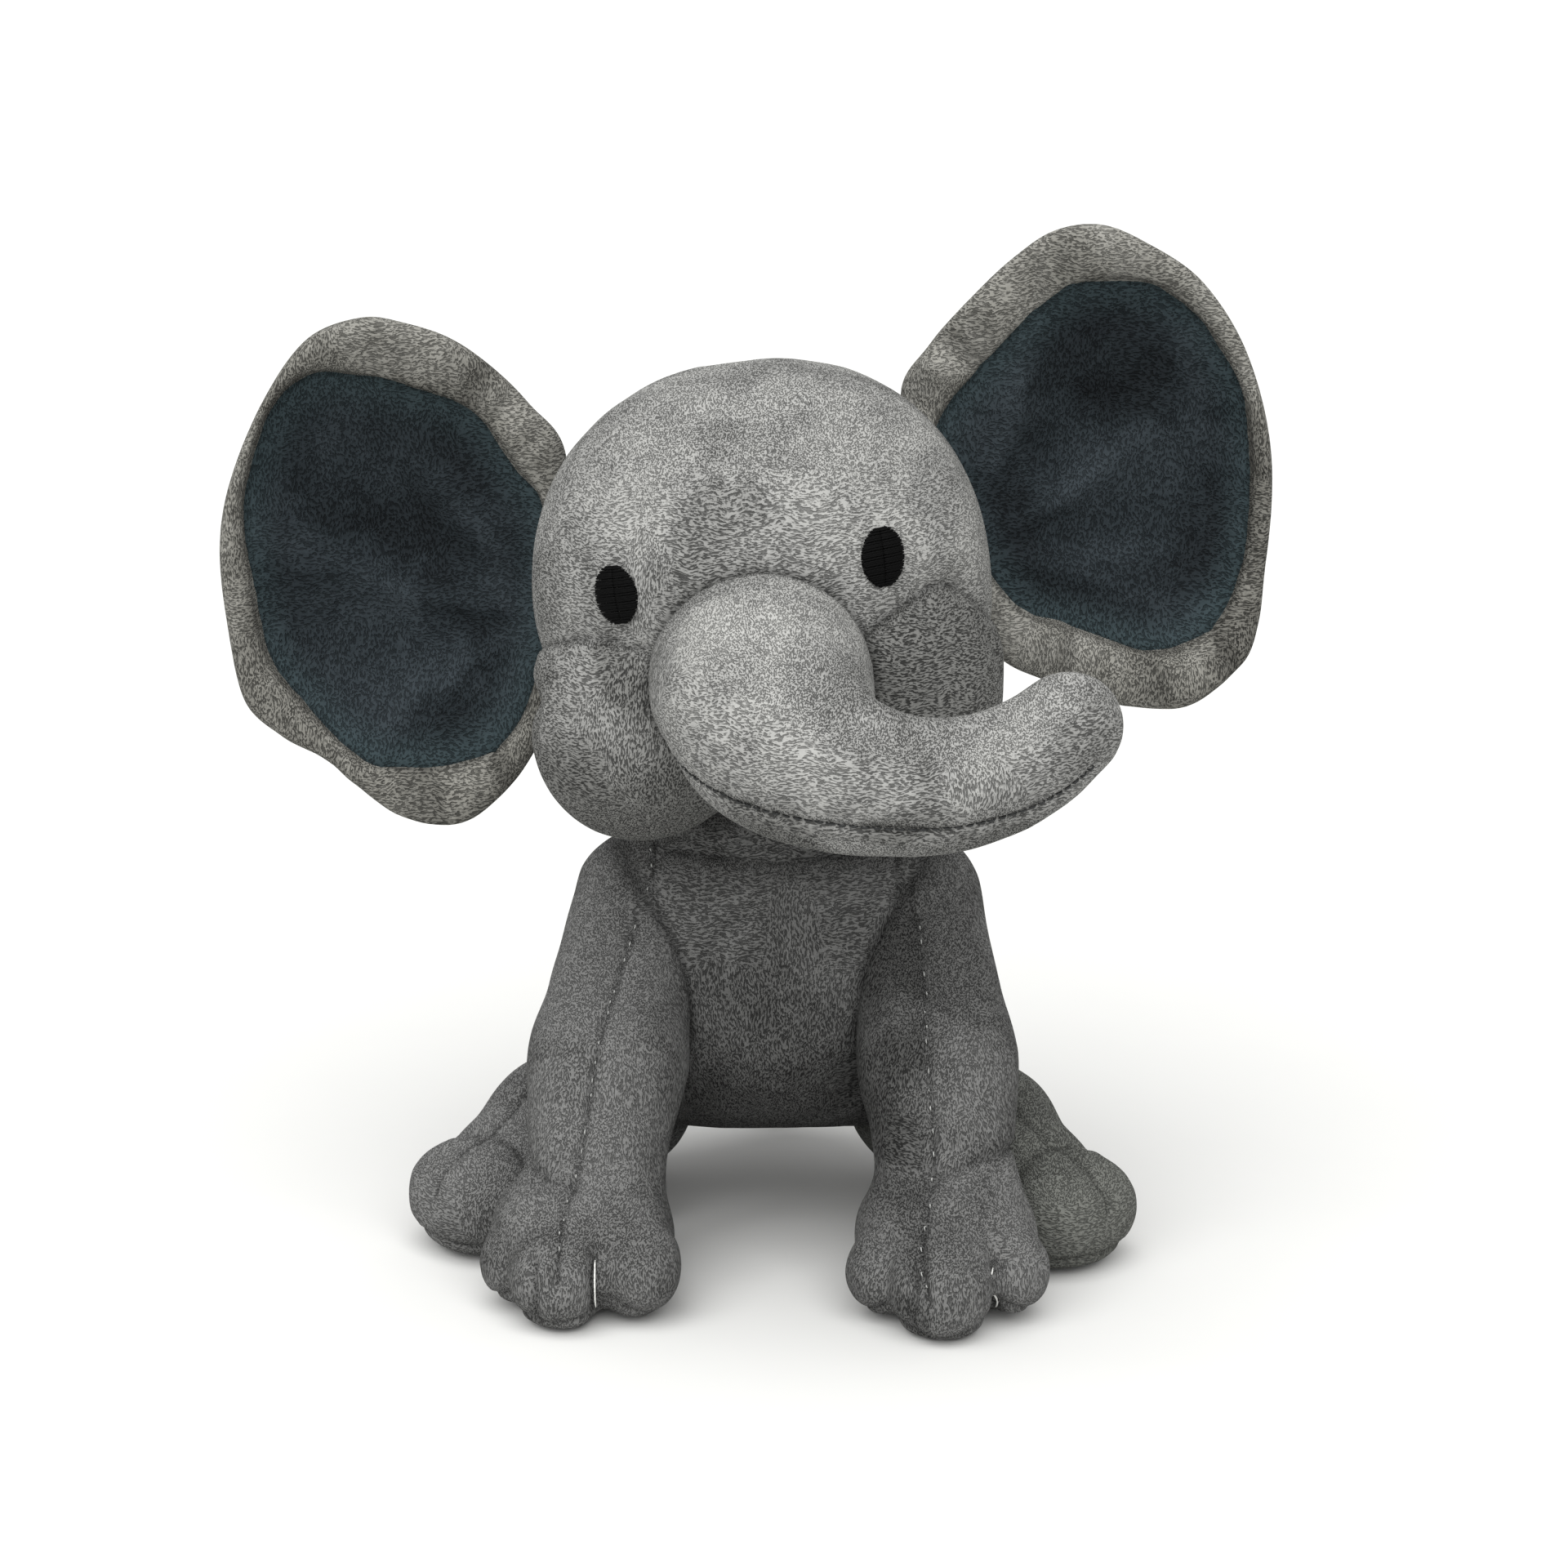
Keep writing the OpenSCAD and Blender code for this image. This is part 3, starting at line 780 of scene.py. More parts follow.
@dataclass
class StuffedForm:
    """A closed padded skin with its seams.

    Attributes:
        name: Name of the piece.
        shape: Field of its form in the body's axes.
        low: Lowest corner of the space that holds it.
        high: Highest corner.
        fabric: Material of its pile.
        seams: Sewn lines on it.
        padding: How it is swelled.
        tone: Gives how much paler each place is, from about -0.5 to 0.5, for panel colour and painted light.
        swell: Height of its uneven stuffing.
        nap: Which way its pile mostly lies.
        meets: Forms of the pieces that press on it, where painted shade darkens the skin.
        puff: Gives how far each place bulges out, in millimetres.
    """

    name: str
    shape: Field
    low: Sequence[float]
    high: Sequence[float]
    fabric: bpy.types.Material
    seams: list[Seam] = field(default_factory=list)
    padding: Padding = field(default_factory=Padding)
    tone: Callable[[Points], np.ndarray] | None = None
    swell: float = 0.35
    nap: Nap = Nap.MIXED
    meets: list[Field] = field(default_factory=list)
    puff: Callable[[Points], np.ndarray] | None = None

    def swelled(self, obj: bpy.types.Object) -> None:
        """Swells the skin with a cloth simulation that its seams hold in.

        Args:
            obj: The skin, which is changed.
        """
        rest = places_of(obj)
        pin = np.zeros(len(rest))
        for seam in self.seams:
            pin = np.maximum(pin, np.exp(-((distances(seam.line, rest) / (self.padding.cell * 1.2)) ** 2)))
        pin = np.maximum(pin, 1 - np.clip((rest[:, 2] - 1.0) / 4, 0, 1))
        group = obj.vertex_groups.new(name="held")
        for i in np.flatnonzero(pin > 0.3):
            group.add([int(i)], float(min(1, pin[i] * 1.4)), "REPLACE")
        cloth = obj.modifiers.new("Cloth", "CLOTH")
        cloth.settings.quality = 5
        cloth.settings.mass = 0.2
        cloth.settings.tension_stiffness = 30
        cloth.settings.compression_stiffness = 20
        cloth.settings.shear_stiffness = 12
        cloth.settings.bending_stiffness = 1.2
        cloth.settings.use_pressure = True
        cloth.settings.uniform_pressure_force = self.padding.pressure
        cloth.settings.effector_weights.gravity = 0
        cloth.settings.vertex_group_mass = "held"
        cloth.collision_settings.use_collision = False
        cloth.point_cache.frame_start = 1
        cloth.point_cache.frame_end = 20
        scene = bpy.context.scene
        for step in range(1, 21):
            scene.frame_set(step)
        graph = bpy.context.evaluated_depsgraph_get()
        moved = np.empty(len(rest) * 3)
        obj.evaluated_get(graph).data.vertices.foreach_get("co", moved)
        move = moved.reshape(-1, 3) * 1000 - ORIGIN - rest
        obj.modifiers.clear()
        obj.vertex_groups.clear()
        scene.frame_set(1)
        length = np.linalg.norm(move, axis=1, keepdims=True)
        cap = self.padding.cap
        move *= np.where(length > 0, cap * np.tanh(length / cap) / np.maximum(length, 1e-9), 0)
        put_places(obj, rest + move)

    def build(self) -> bpy.types.Object:
        """Makes the piece.

        Returns:
            The finished object, with its cloth attributes and material.
        """
        places, faces = skin_over(self.shape, self.low, self.high, self.padding.cell)
        for _ in range(4):
            places = settle(self.shape, relax(places, faces), 1)
        places = settle(self.shape, places, 2)
        obj = new_mesh(self.name, places, faces)
        self.seams = [
            Seam(settle(self.shape, s.line, 4), s.depth, s.width, s.pull, s.pull_width, s.dark) for s in self.seams
        ]
        self.swelled(obj)
        for _ in range(self.padding.finer):
            obj.modifiers.new("Finer", "SUBSURF").levels = 1
            apply_modifiers(obj)
        self.sew(obj)
        self.dress(obj)
        LOG.info("%s: %d faces", self.name, len(obj.data.polygons))
        return obj

    def sew(self, obj: bpy.types.Object) -> None:
        """Draws the skin in along its seams and stores painted shade for its creases and for where other pieces meet
        it.

        Args:
            obj: The skin, which is changed.
        """
        p = places_of(obj)
        normal = normals_of(obj)
        seed = len(self.name)
        drop = -self.swell * wrinkles(p, 42, seed) - 0.4 * self.swell * wrinkles(p, 17, seed + 3)
        crease = np.zeros(len(p))
        for seam in self.seams:
            d = distances(seam.line, p)
            pucker = 1 + 0.25 * wrinkles(p, 7, 5)
            drop += seam.depth * np.exp(-((d / seam.width) ** 2)) * pucker
            drop += seam.pull * np.exp(-((d / seam.pull_width) ** 2)) * pucker
            # painted shade along the seam's crease
            crease = np.maximum(crease, seam.dark * np.exp(-((d / (seam.width * 0.75)) ** 2)))
        # painted shade where another piece presses against this one
        for other in self.meets:
            crease = np.maximum(crease, 0.7 * np.exp(-((other(p) / 1.2) ** 2)))
        if self.puff is not None:
            drop -= self.puff(p)
        moved = p - normal * drop[:, None]
        floor = moved[:, 2] < 0.15
        moved[floor, 2] = 0.15
        put_places(obj, moved)
        store(obj, "crease", crease)

    def dress(self, obj: bpy.types.Object) -> None:
        """Stores how the cloth lies and gives the piece its fabric.

        Args:
            obj: The skin.
        """
        p = places_of(obj)
        normal = normals_of(obj)
        store(obj, "cloth_place", p / 1000)
        store(obj, "cloth_top", np.clip((np.abs(normal[:, 2]) - 0.35) / 0.4, 0, 1))
        store(obj, "tone", self.tone(p) if self.tone is not None else np.zeros(len(p)))
        store(obj, "nap", np.full(len(p), self.nap.value))
        obj.data.materials.clear()
        obj.data.materials.append(self.fabric)


def thread_run(line: Points, radius: float, sides: int = 6) -> tuple[Points, list[list[int]]]:
    """Lays one length of thread along a line.

    Args:
        line: Points that the thread's middle follows.
        radius: Half its thickness.
        sides: Corners of its cross-section.

    Returns:
        Places and faces of a closed round thread.
    """
    way = np.gradient(line, axis=0)
    way /= np.maximum(np.linalg.norm(way, axis=1, keepdims=True), 1e-9)
    ref = np.where(np.abs(way[:, 2:3]) > 0.8, np.array([[1.0, 0, 0]]), np.array([[0, 0, 1.0]]))
    across = np.cross(way, ref)
    across /= np.linalg.norm(across, axis=1, keepdims=True)
    over = np.cross(across, way)
    n = len(line)
    taper = np.minimum(1, np.minimum(np.arange(n) + 0.6, n - np.arange(n) - 0.4))
    a = np.linspace(0, 2 * math.pi, sides, endpoint=False)
    ring = np.cos(a)[None, :, None] * across[:, None] + np.sin(a)[None, :, None] * over[:, None]
    places = (line[:, None] + radius * taper[:, None, None] * ring).reshape(-1, 3)
    faces = [
        [k * sides + i, k * sides + (i + 1) % sides, (k + 1) * sides + (i + 1) % sides, (k + 1) * sides + i]
        for k in range(n - 1)
        for i in range(sides)
    ]
    faces.append(list(range(sides))[::-1])
    faces.append([(n - 1) * sides + i for i in range(sides)])
    return places, faces


def threads(name: str, runs: Sequence[Points], radius: float, finish: Thread) -> bpy.types.Object:
    """Makes one piece of many lengths of thread.

    Args:
        name: Name of the piece.
        runs: Line of each length.
        radius: Half the thread's thickness.
        finish: The thread.

    Returns:
        The object.
    """
    places: list[Points] = []
    faces: list[list[int]] = []
    count = 0
    for run in runs:
        v, f = thread_run(run, radius)
        places.append(v)
        faces += [[i + count for i in face] for face in f]
        count += len(v)
    obj = new_mesh(name, np.vstack(places), faces)
    obj.data.materials.append(material(finish))
    return obj


def seam_flecks(name: str, shape: Field, line: Points, seed: int) -> bpy.types.Object:
    """Scatters short lengths of thread that show in a seam.

    Args:
        name: Name of the piece.
        shape: Form that the seam lies on.
        line: Points along the seam, on the form.
        seed: Start of the random spacing.

    Returns:
        The object.
    """
    rng = np.random.default_rng(seed)
    _, grad = slope(shape, line)
    out = grad / np.linalg.norm(grad, axis=1, keepdims=True)
    along = np.concatenate([[0], np.cumsum(np.linalg.norm(np.diff(line, axis=0), axis=1))])
    runs = []
    at = 2.0
    while at < along[-1] - 3:
        marks = at + np.linspace(0, rng.uniform(0.6, 1.5), 4)
        q = np.stack([np.interp(marks, along, line[:, k]) for k in range(3)], 1)
        n = np.stack([np.interp(marks, along, out[:, k]) for k in range(3)], 1)
        q = q + rng.normal(0, 0.22, 3)
        runs.append(q - n * (np.array([1.5, 1.0, 1.0, 1.5]) + rng.uniform(-0.1, 0.2))[:, None])
        at += rng.uniform(2.0, 9.0)
    return threads(name, runs, 0.16, FLECK_THREAD)


MADE: dict[str, bpy.types.Material] = {}


def material(finish: PileFabric | Thread) -> bpy.types.Material:
    """The material of a finish, made once."""
    if finish.name not in MADE:
        MADE[finish.name] = finish.build()
    return MADE[finish.name]


# --- sub-assemblies ---


@dataclass
class Head:
    """Stuffed head with its cheeks and embroidered eyes, in the head's own axes.

    A cheek panel's upper edge is given as pairs of a turn round the head from its front, in degrees, and a height.
    """

    half: tuple[float, float, float] = (57.2, 57.0, 57.0)
    down: float = 50.5
    shift: float = 1.2
    cheek_half: tuple[float, float, float] = (26.0, 31.0, 27.5)
    cheek_at: dict[Side, tuple[float, float, float]] = field(
        default_factory=lambda: {Side.LEFT: (-32.5, -20.0, -25.0), Side.RIGHT: (29.5, -20.0, -25.0)}
    )
    cheek_edge: dict[Side, tuple[tuple[float, float], ...]] = field(
        default_factory=lambda: {
            Side.LEFT: ((14, -12), (20, -7), (27, -3), (34, -0.5), (42, 0.5), (52, 0), (66, -2.5), (80, -7),
                        (91, -17), (96, -34), (97, -44)),
            Side.RIGHT: ((16, -14), (22, -8), (29, -4), (37, -0.5), (46, 2), (56, 0), (64, -6), (76, -13),
                         (84, -22), (88, -36), (89, -46)),
        }
    )
    eye_at: dict[Side, tuple[float, float]] = field(
        default_factory=lambda: {Side.LEFT: (-31.8, 11.5), Side.RIGHT: (31.3, 12.0)}
    )
    eye_half: tuple[float, float] = (5.1, 6.6)

    def shape(self, p: Points) -> np.ndarray:
        """Field of the head.

        Args:
            p: Places in the body's axes.

        Returns:
            The field: under 0 inside the form, in millimetres.
        """
        q = to_head(p)
        skull = egg(q, (self.shift, 0, 0), self.half, self.down, 2.2)
        left, right = (egg(q, self.cheek_at[side], self.cheek_half) for side in Side)
        return melt(melt(skull, left, 9), right, 9)

    def edge_line(self, side: Side) -> Points:
        """The upper edge of a cheek panel, over the head's front.

        Args:
            side: Which side of the head.

        Returns:
            Points along the edge.
        """
        corners = []
        for turn, z in self.cheek_edge[side]:
            a = math.radians(turn)
            corners.append((side.value * 57 * math.sin(a), -57 * math.cos(a), z))
        return from_head(smooth_line(corners))

    def in_cheek(self, p: Points, side: Side) -> np.ndarray:
        """1 where a place lies in a cheek panel, 0 elsewhere.

        Args:
            p: Places in the body's axes.
            side: Which side of the head.

        Returns:
            1 inside the panel and 0 outside, at each place.
        """
        q = to_head(p)
        turn = np.degrees(np.arctan2(side.value * q[:, 0], -q[:, 1]))
        edge = np.array(self.cheek_edge[side], float)
        height = np.interp(turn, edge[:, 0], edge[:, 1], left=-60, right=-60)
        return np.clip((height - q[:, 2]) / 0.9 + 0.5, 0, 1)

    def seams(self) -> list[Seam]:
        """Seams of the head: the cheeks' upper edges, their darts, and the long seam behind the face.

        Returns:
            The seams.
        """
        found = [Seam(self.edge_line(side), 1.1, 1.0, 1.6, 5.0, 0.8) for side in Side]
        left_dart = [(-62, -6, -15.5), (-57, -13, -16.5), (-52, -21, -17.5), (-48, -27, -19)]
        found.append(Seam(from_head(smooth_line(left_dart)), 1.6, 1.3, 2.4, 5.0, 0.55))
        right_dart = [(46.5, -33, -1), (47.5, -31, -7), (49, -26, -16), (50, -22, -24)]
        found.append(Seam(from_head(smooth_line(right_dart)), -0.9, 0.9, 1.2, 6.0, 0.0))
        for s in (-1, 1):
            chin = [(s * 15, -50, -20), (s * 14, -44, -34), (s * 13, -30, -46), (s * 12, -16, -51)]
            found.append(Seam(from_head(smooth_line(chin)), 1.0, 1.2, 1.4, 7.0, 0.6))
            behind = [(s * 56, 10, 18), (s * 57, 12, 0), (s * 52, 14, -24), (s * 40, 14, -42)]
            found.append(Seam(from_head(smooth_line(behind)), 1.0, 1.1, 1.0, 6.0, 0.6))
        back = [(0, 12, 57), (0, 34, 46), (0, 50, 26), (0, 57, 0), (0, 52, -24), (0, 38, -42)]
        found.append(Seam(from_head(smooth_line(back)), 1.0, 1.2, 1.0, 7.0, 0.6))
        return found

    def puff(self, p: Points) -> np.ndarray:
        """The cheek panels stand out from the face."""
        return 1.6 * (self.in_cheek(p, Side.LEFT) + self.in_cheek(p, Side.RIGHT))

    def tone(self, p: Points) -> np.ndarray:
        """Paler and darker panels: both cheeks carry painted shade where the face turns down, and the cheek on +X is
        darker still, its pile brushed against the light.

        Args:
            p: Places in the body's axes.

        Returns:
            How much paler, or below 0 darker, each place is.
        """
        q = to_head(p)
        streak = distances(from_head(smooth_line([(46.5, -33, -1), (47.5, -31, -7), (49, -26, -14)])), p)
        # painted shade on both cheeks; the cheek on +X is darker still for its pile brushed against the light
        value = -1.05 * self.in_cheek(p, Side.RIGHT) - 0.36 * self.in_cheek(p, Side.LEFT)
        value += 1.7 * np.exp(-((streak / 1.1) ** 2))
        # the nose bridge is brushed rough, the temples smooth
        value -= 0.35 * np.exp(-(((q[:, 0] - 8) / 20) ** 2 + ((q[:, 2] - 3) / 9) ** 2)) * (q[:, 1] < 0)
        value += 0.22 * np.exp(-(((q[:, 0] - 46) / 12) ** 2 + ((q[:, 2] - 20) / 20) ** 2)) * (q[:, 1] < 0)
        return value

    def eye(self, side: Side) -> bpy.types.Object:
        """Satin-stitched eye of level threads over a low mound.

        Args:
            side: Which eye.

        Returns:
            The object, riding on the head.
        """
        pitch = 0.5
        a, b = self.eye_half
        middle, height = self.eye_at[side]
        lean = math.radians(2) * side.value
        runs = []
        rows = int(b / pitch)
        for row in range(-rows, rows + 1):
            z = row * pitch
            half = a * math.sqrt(max(0, 1 - (z / (b + 0.25)) ** 2))
            if half < 0.6:
                continue
            # a middle line of stitches joins the two halves of each row
            for lo, hi in ((-half, 0.15), (-0.15, half)):
                x = np.linspace(lo, hi, 9)
                zz = z + 0.10 * np.sin(row * 1.7) + 0.2 * np.sign(x) * (x / a) ** 2
                lift = 0.95 * (1 - (x / (a + 0.4)) ** 2) * (1 - (z / (b + 1)) ** 2) + 0.15
                lift -= 0.35 * np.exp(-((x / 0.5) ** 2))
                u = x * math.cos(lean) + zz * math.sin(lean)
                v = -x * math.sin(lean) + zz * math.cos(lean)
                q = np.stack([middle + u, np.full(9, -49.0), height + v], 1)
                on = settle(self.shape, from_head(q), 6, (0, 1, 0))
                _, grad = slope(self.shape, on)
                runs.append(on + grad / np.linalg.norm(grad, axis=1, keepdims=True) * lift[:, None])
        eye = threads(f"eye_{side.word}_satin", runs, 0.34, EYE_THREAD)
        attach(eye, "head")
        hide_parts(f"eye_{side.word}")
        return eye

    def build(self) -> None:
        """Makes the head and both eyes."""
        head = StuffedForm(
            "head_plush", self.shape, (-72, -78, 98), (66, 62, 240), material(PALE_PLUSH), self.seams(),
            Padding(2.5, 4.0, 1.2, 0.9), self.tone, nap=Nap.SIDEWAYS,
            meets=[Trunk().shape], puff=self.puff,
        ).build()
        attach(head, "head")
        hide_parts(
            "face_panel", "cheek_panel_left", "cheek_panel_right", "chin_panel", "head_back_left",
            "head_back_right", "head_stuffing",
        )
        for side in Side:
            self.eye(side)


@dataclass
class Trunk:
    """Stuffed trunk, sewn from an upper and an under panel and curled to one side."""

    path: tuple[tuple[float, float, float], ...] = (
        (-2.0, -58.0, 158.5), (-1.5, -72.0, 157.0), (1.5, -86.0, 152.5), (10.0, -98.0, 147.0), (24.0, -105.0, 144.0),
        (38.0, -105.0, 143.0), (51.0, -101.0, 145.0), (61.0, -95.0, 149.0), (68.0, -90.0, 153.5),
    )
    radii: tuple[float, ...] = (26.5, 26.0, 23.5, 19.5, 16.8, 15.4, 14.4, 13.6, 12.8)
    stitch_pitch: float = 2.7

    def line(self) -> tuple[Points, np.ndarray]:
        """The trunk's middle line and its radius along it."""
        joined = smooth_line([(*c, r) for c, r in zip(self.path, self.radii)], 3.0)
        return joined[:, :3], joined[:, 3]

    def shape(self, p: Points) -> np.ndarray:
        """Field of the trunk.

        Args:
            p: Places in the body's axes.

        Returns:
            The field: under 0 inside the form, in millimetres.
        """
        line, radius = self.line()
        way = np.diff(line, axis=0)
        value = np.full(len(p), 1e9)
        for k in range(len(way)):
            value = np.minimum(value, limb(p, line[k], line[k + 1], radius[k], radius[k + 1]))
        return value

    def seam_line(self, angle: float, start: int, end: int) -> Points:
        """A line along the trunk at one angle round it.

        Args:
            angle: Degrees from level, upwards on the outer side of the curl.
            start: First step of the middle line.
            end: Steps left off at the tip.

        Returns:
            Points on the skin.
        """
        line, radius = self.line()
        way = np.gradient(line, axis=0)
        way /= np.linalg.norm(way, axis=1, keepdims=True)
        across = np.cross(way, np.array([0, 0, 1.0]))
        across /= np.linalg.norm(across, axis=1, keepdims=True)
        over = np.cross(across, way)
        a = math.radians(angle)
        points = line - 0.0 * way + radius[:, None] * (-math.cos(a) * -across + math.sin(a) * over)
        return smooth_line(points[start : len(points) - end])

    def tone(self, p: Points) -> np.ndarray:
        """Painted highlight on the root's top, where the light falls, and painted shade on the under panel."""
        top = np.exp(-((np.linalg.norm(p - np.array([-4, -88, 172]), axis=1) / 18) ** 2))
        under = np.clip((141 - p[:, 2]) / 6, 0, 1)
        return 0.45 * top - 0.2 * under

    def stitches(self, line: Points) -> bpy.types.Object:
        """Lockstitches that show in the trunk's front seam.

        Args:
            line: Points along the seam.

        Returns:
            The object.
        """
        on = settle(self.shape, line, 4)
        _, grad = slope(self.shape, on)
        inward = grad / np.linalg.norm(grad, axis=1, keepdims=True)
        along = np.concatenate([[0], np.cumsum(np.linalg.norm(np.diff(on, axis=0), axis=1))])
        runs = []
        for k in range(int(along[-1] / self.stitch_pitch)):
            marks = (k + np.linspace(0.14, 0.86, 5)) * self.stitch_pitch
            q = np.stack([np.interp(marks, along, on[:, i]) for i in range(3)], 1)
            n = np.stack([np.interp(marks, along, inward[:, i]) for i in range(3)], 1)
            runs.append(q - n * (1.2 + np.array([0.35, 0.0, -0.1, 0.0, 0.35]))[:, None])
        return threads("trunk_seam_thread", runs, 0.26, SEAM_THREAD)

    def build(self) -> None:
        """Makes the trunk and the thread in its seam."""
        front = self.seam_line(-28, 3, 1)
        behind = self.seam_line(180 + 28, 4, 1)
        trunk = StuffedForm(
            "trunk_plush", self.shape, (-32, -128, 118), (86, -28, 190), material(PALE_PLUSH),
            [Seam(front, 0.9, 0.9, 0.9, 4.5, 0.5), Seam(behind, 0.9, 0.9, 0.9, 4.5, 0.5)],
            Padding(2.2, 4.0, 1.0, 0.95), self.tone, 0.3, nap=Nap.SIDEWAYS, meets=[Head().shape],
        ).build()
        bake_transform(trunk)
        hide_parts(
            "trunk_upper_panel", "trunk_under_panel", "trunk_stuffing", "trunk_tip_upper_panel",
            "trunk_tip_under_panel", "trunk_tip_stuffing",
        )
        thread = self.stitches(front)
        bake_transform(thread)


@dataclass
class Ear:
    """Large cupped ear: outer fabric turned forward as a rim round a dark lining.

    Lengths p run outwards from the seam on the head, q up along it, and t forwards.
    """

    side: Side
    cut: dict[Side, tuple[tuple[float, float], ...]] = field(
        default_factory=lambda: {
            Side.LEFT: (
                (-10, 40), (-1, 50), (8, 58), (19, 65), (31, 68), (42, 68.5), (55, 62), (65, 46), (72, 26), (74, 9),
                (71.5, -10), (66, -31), (56, -40), (45, -45), (36, -51), (26, -57), (16, -59), (7, -57), (0, -51),
                (-6, -43), (-11, -30), (-13, -8), (-13, 18),
            ),
            Side.RIGHT: (
                (-11, 42), (0, 51), (14, 58.5), (27, 64), (38, 66.5), (49, 64), (58, 56), (68, 42), (72.5, 23),
                (71.5, 2), (67, -15), (59, -33), (53, -45), (45, -53.5), (29, -58), (15, -53), (6, -46), (-2, -40),
                (-12, -28), (-14, -6), (-14, 20),
            ),
        }
    )
    lining_cut: dict[Side, tuple[tuple[float, float], ...]] = field(
        default_factory=lambda: {
            Side.LEFT: (
                (-6, 25), (1, 34), (13, 47), (28, 52), (42, 54), (55, 53), (64, 42), (68.5, 22), (66, 1), (61, -19),
                (48, -34), (38, -42), (26, -45), (8, -42), (-3, -32), (-8, -14), (-9, 8),
            ),
            Side.RIGHT: (
                (-6, 31), (10, 41), (28, 49), (42, 51.5), (57, 45), (66, 29), (68, 8), (61, -16), (50, -35), (36, -43),
                (24, -41), (7, -28), (-2, -20), (-7, -5), (-8, 14),
            ),
        }
    )
    # the lining's cut before it is cupped and folded: width, length in metres, and area in square metres
    lining_flat: dict[Side, tuple[float, float, float]] = field(
        default_factory=lambda: {Side.LEFT: (0.083, 0.108, 0.0071), Side.RIGHT: (0.082, 0.104, 0.0065)}
    )
    middle: tuple[float, float] = (32.0, 3.0)
    around: int = 240

    def place(self, p: np.ndarray, q: np.ndarray, t: np.ndarray) -> Points:
        """Turns the ear's own lengths into places in the body's axes.

        Args:
            p: Outwards from the seam.
            q: Up along the seam.
            t: Forwards.

        Returns:
            The places.
        """
        s = self.side.value
        c, sn = math.cos(EAR_LEAN), math.sin(EAR_LEAN)
        x = EAR_HINGE[0] + p * c - q * sn
        z = EAR_HINGE[2] + p * sn + q * c
        return from_head(np.stack([s * x, EAR_HINGE[1] - t, z], -1))

    def reach(self, cut: Sequence[Sequence[float]], angle: np.ndarray) -> np.ndarray:
        """Distance of a cut line from the ear's middle.

        Args:
            cut: Corners of the line.
            angle: Directions from the middle.

        Returns:
            One distance for each direction.
        """
        line = smooth_line(cut, 0.5, closed=True) - np.array(self.middle)
        a = np.arctan2(line[:, 1], line[:, 0])
        r = np.linalg.norm(line, axis=1)
        order = np.argsort(a)
        a, r = a[order], r[order]
        return np.interp(angle, np.concatenate([a - 2 * math.pi, a, a + 2 * math.pi]), np.tile(r, 3))

    def cup(self, p: np.ndarray, q: np.ndarray) -> np.ndarray:
        """How far forward the ear's middle layer lies.

        Args:
            p: Outwards from the seam.
            q: Up along the seam.

        Returns:
            Distance forwards at each place.
        """
        hollow = -9.0 * np.exp(-(((p - 34) / 34) ** 2 + ((q - 2) / 42) ** 2))
        edge = 5.0 * np.clip((p - 40) / 34, 0, 1) ** 2 + 6.0 * np.clip((np.abs(q) - 35) / 30, 0, 1) ** 2
        return hollow + edge + 3.0

    def folds(self, p: np.ndarray, q: np.ndarray) -> np.ndarray:
        """Soft folds that spread over the lining from the seam.

        Args:
            p: Outwards from the seam.
            q: Up along the seam.

        Returns:
            Height at each place.
        """
        s = self.side.value
        away = np.hypot(p + 14, q)
        turn = np.arctan2(q, p + 14)
        ridges = np.zeros_like(p)
        for at, width, height, wander in (
            (0.70, 0.13, 2.4, 0.012), (0.34, 0.20, -2.2, -0.010), (0.02, 0.11, 2.2, 0.014),
            (-0.32, 0.18, -2.0, 0.008), (-0.62, 0.12, 2.3, -0.010),
        ):
            line = at + (0.08 if s > 0 else -0.05) + wander * (away - 40) * 0.35
            ridges += height * np.exp(-(((turn - line) / width) ** 2))
        fade = np.clip((away - 8) / 26, 0, 1) * np.clip(1 - (away - 54) / 32, 0, 1)
        return ridges * fade

    def sheet_grid(
        self, rows: Sequence[tuple[float, float, float]]
    ) -> tuple[np.ndarray, np.ndarray, np.ndarray, np.ndarray]:
        """Lays rings of points from the ear's middle to its edge and round to the back.

        Args:
            rows: For each ring, its part of the way from the middle to the lining's cut, its part of the way from
                there to the outer cut, and its height.

        Returns:
            Lengths p, q and t, and the angle, each as rings by points.
        """
        angle = np.linspace(-math.pi, math.pi, self.around, endpoint=False)
        inner, outer = self.reach(self.lining_cut[self.side], angle), self.reach(self.cut[self.side], angle)
        ps, qs, ts = [], [], []
        for a, b, t in rows:
            r = inner * a + (outer - inner) * b
            p = self.middle[0] + r * np.cos(angle)
            q = self.middle[1] + r * np.sin(angle)
            ps.append(p)
            qs.append(q)
            ts.append(np.full_like(p, t))
        return np.array(ps), np.array(qs), np.array(ts), np.tile(angle, (len(rows), 1))

    def rim_pucker(self, angle: np.ndarray) -> np.ndarray:
        """Gathers across the rim, deepest under the ear and at its upper root.

        Args:
            angle: Directions from the ear's middle.

        Returns:
            Height at each place.
        """
        low = np.exp(-(((angle + 1.95) / 0.6) ** 2))
        high = np.exp(-(((angle - 2.15) / 0.5) ** 2))
        fine = np.sin(angle * 29 + 1.3 * np.sin(angle * 9)) + 0.5 * np.sin(angle * 53 + 2)
        broad = np.sin(angle * 15 + 1.1 * np.sin(angle * 5 + self.side.value))
        return fine * (0.2 + 0.8 * low + 0.5 * high) + broad * (0.3 + 1.7 * low + 1.7 * high)

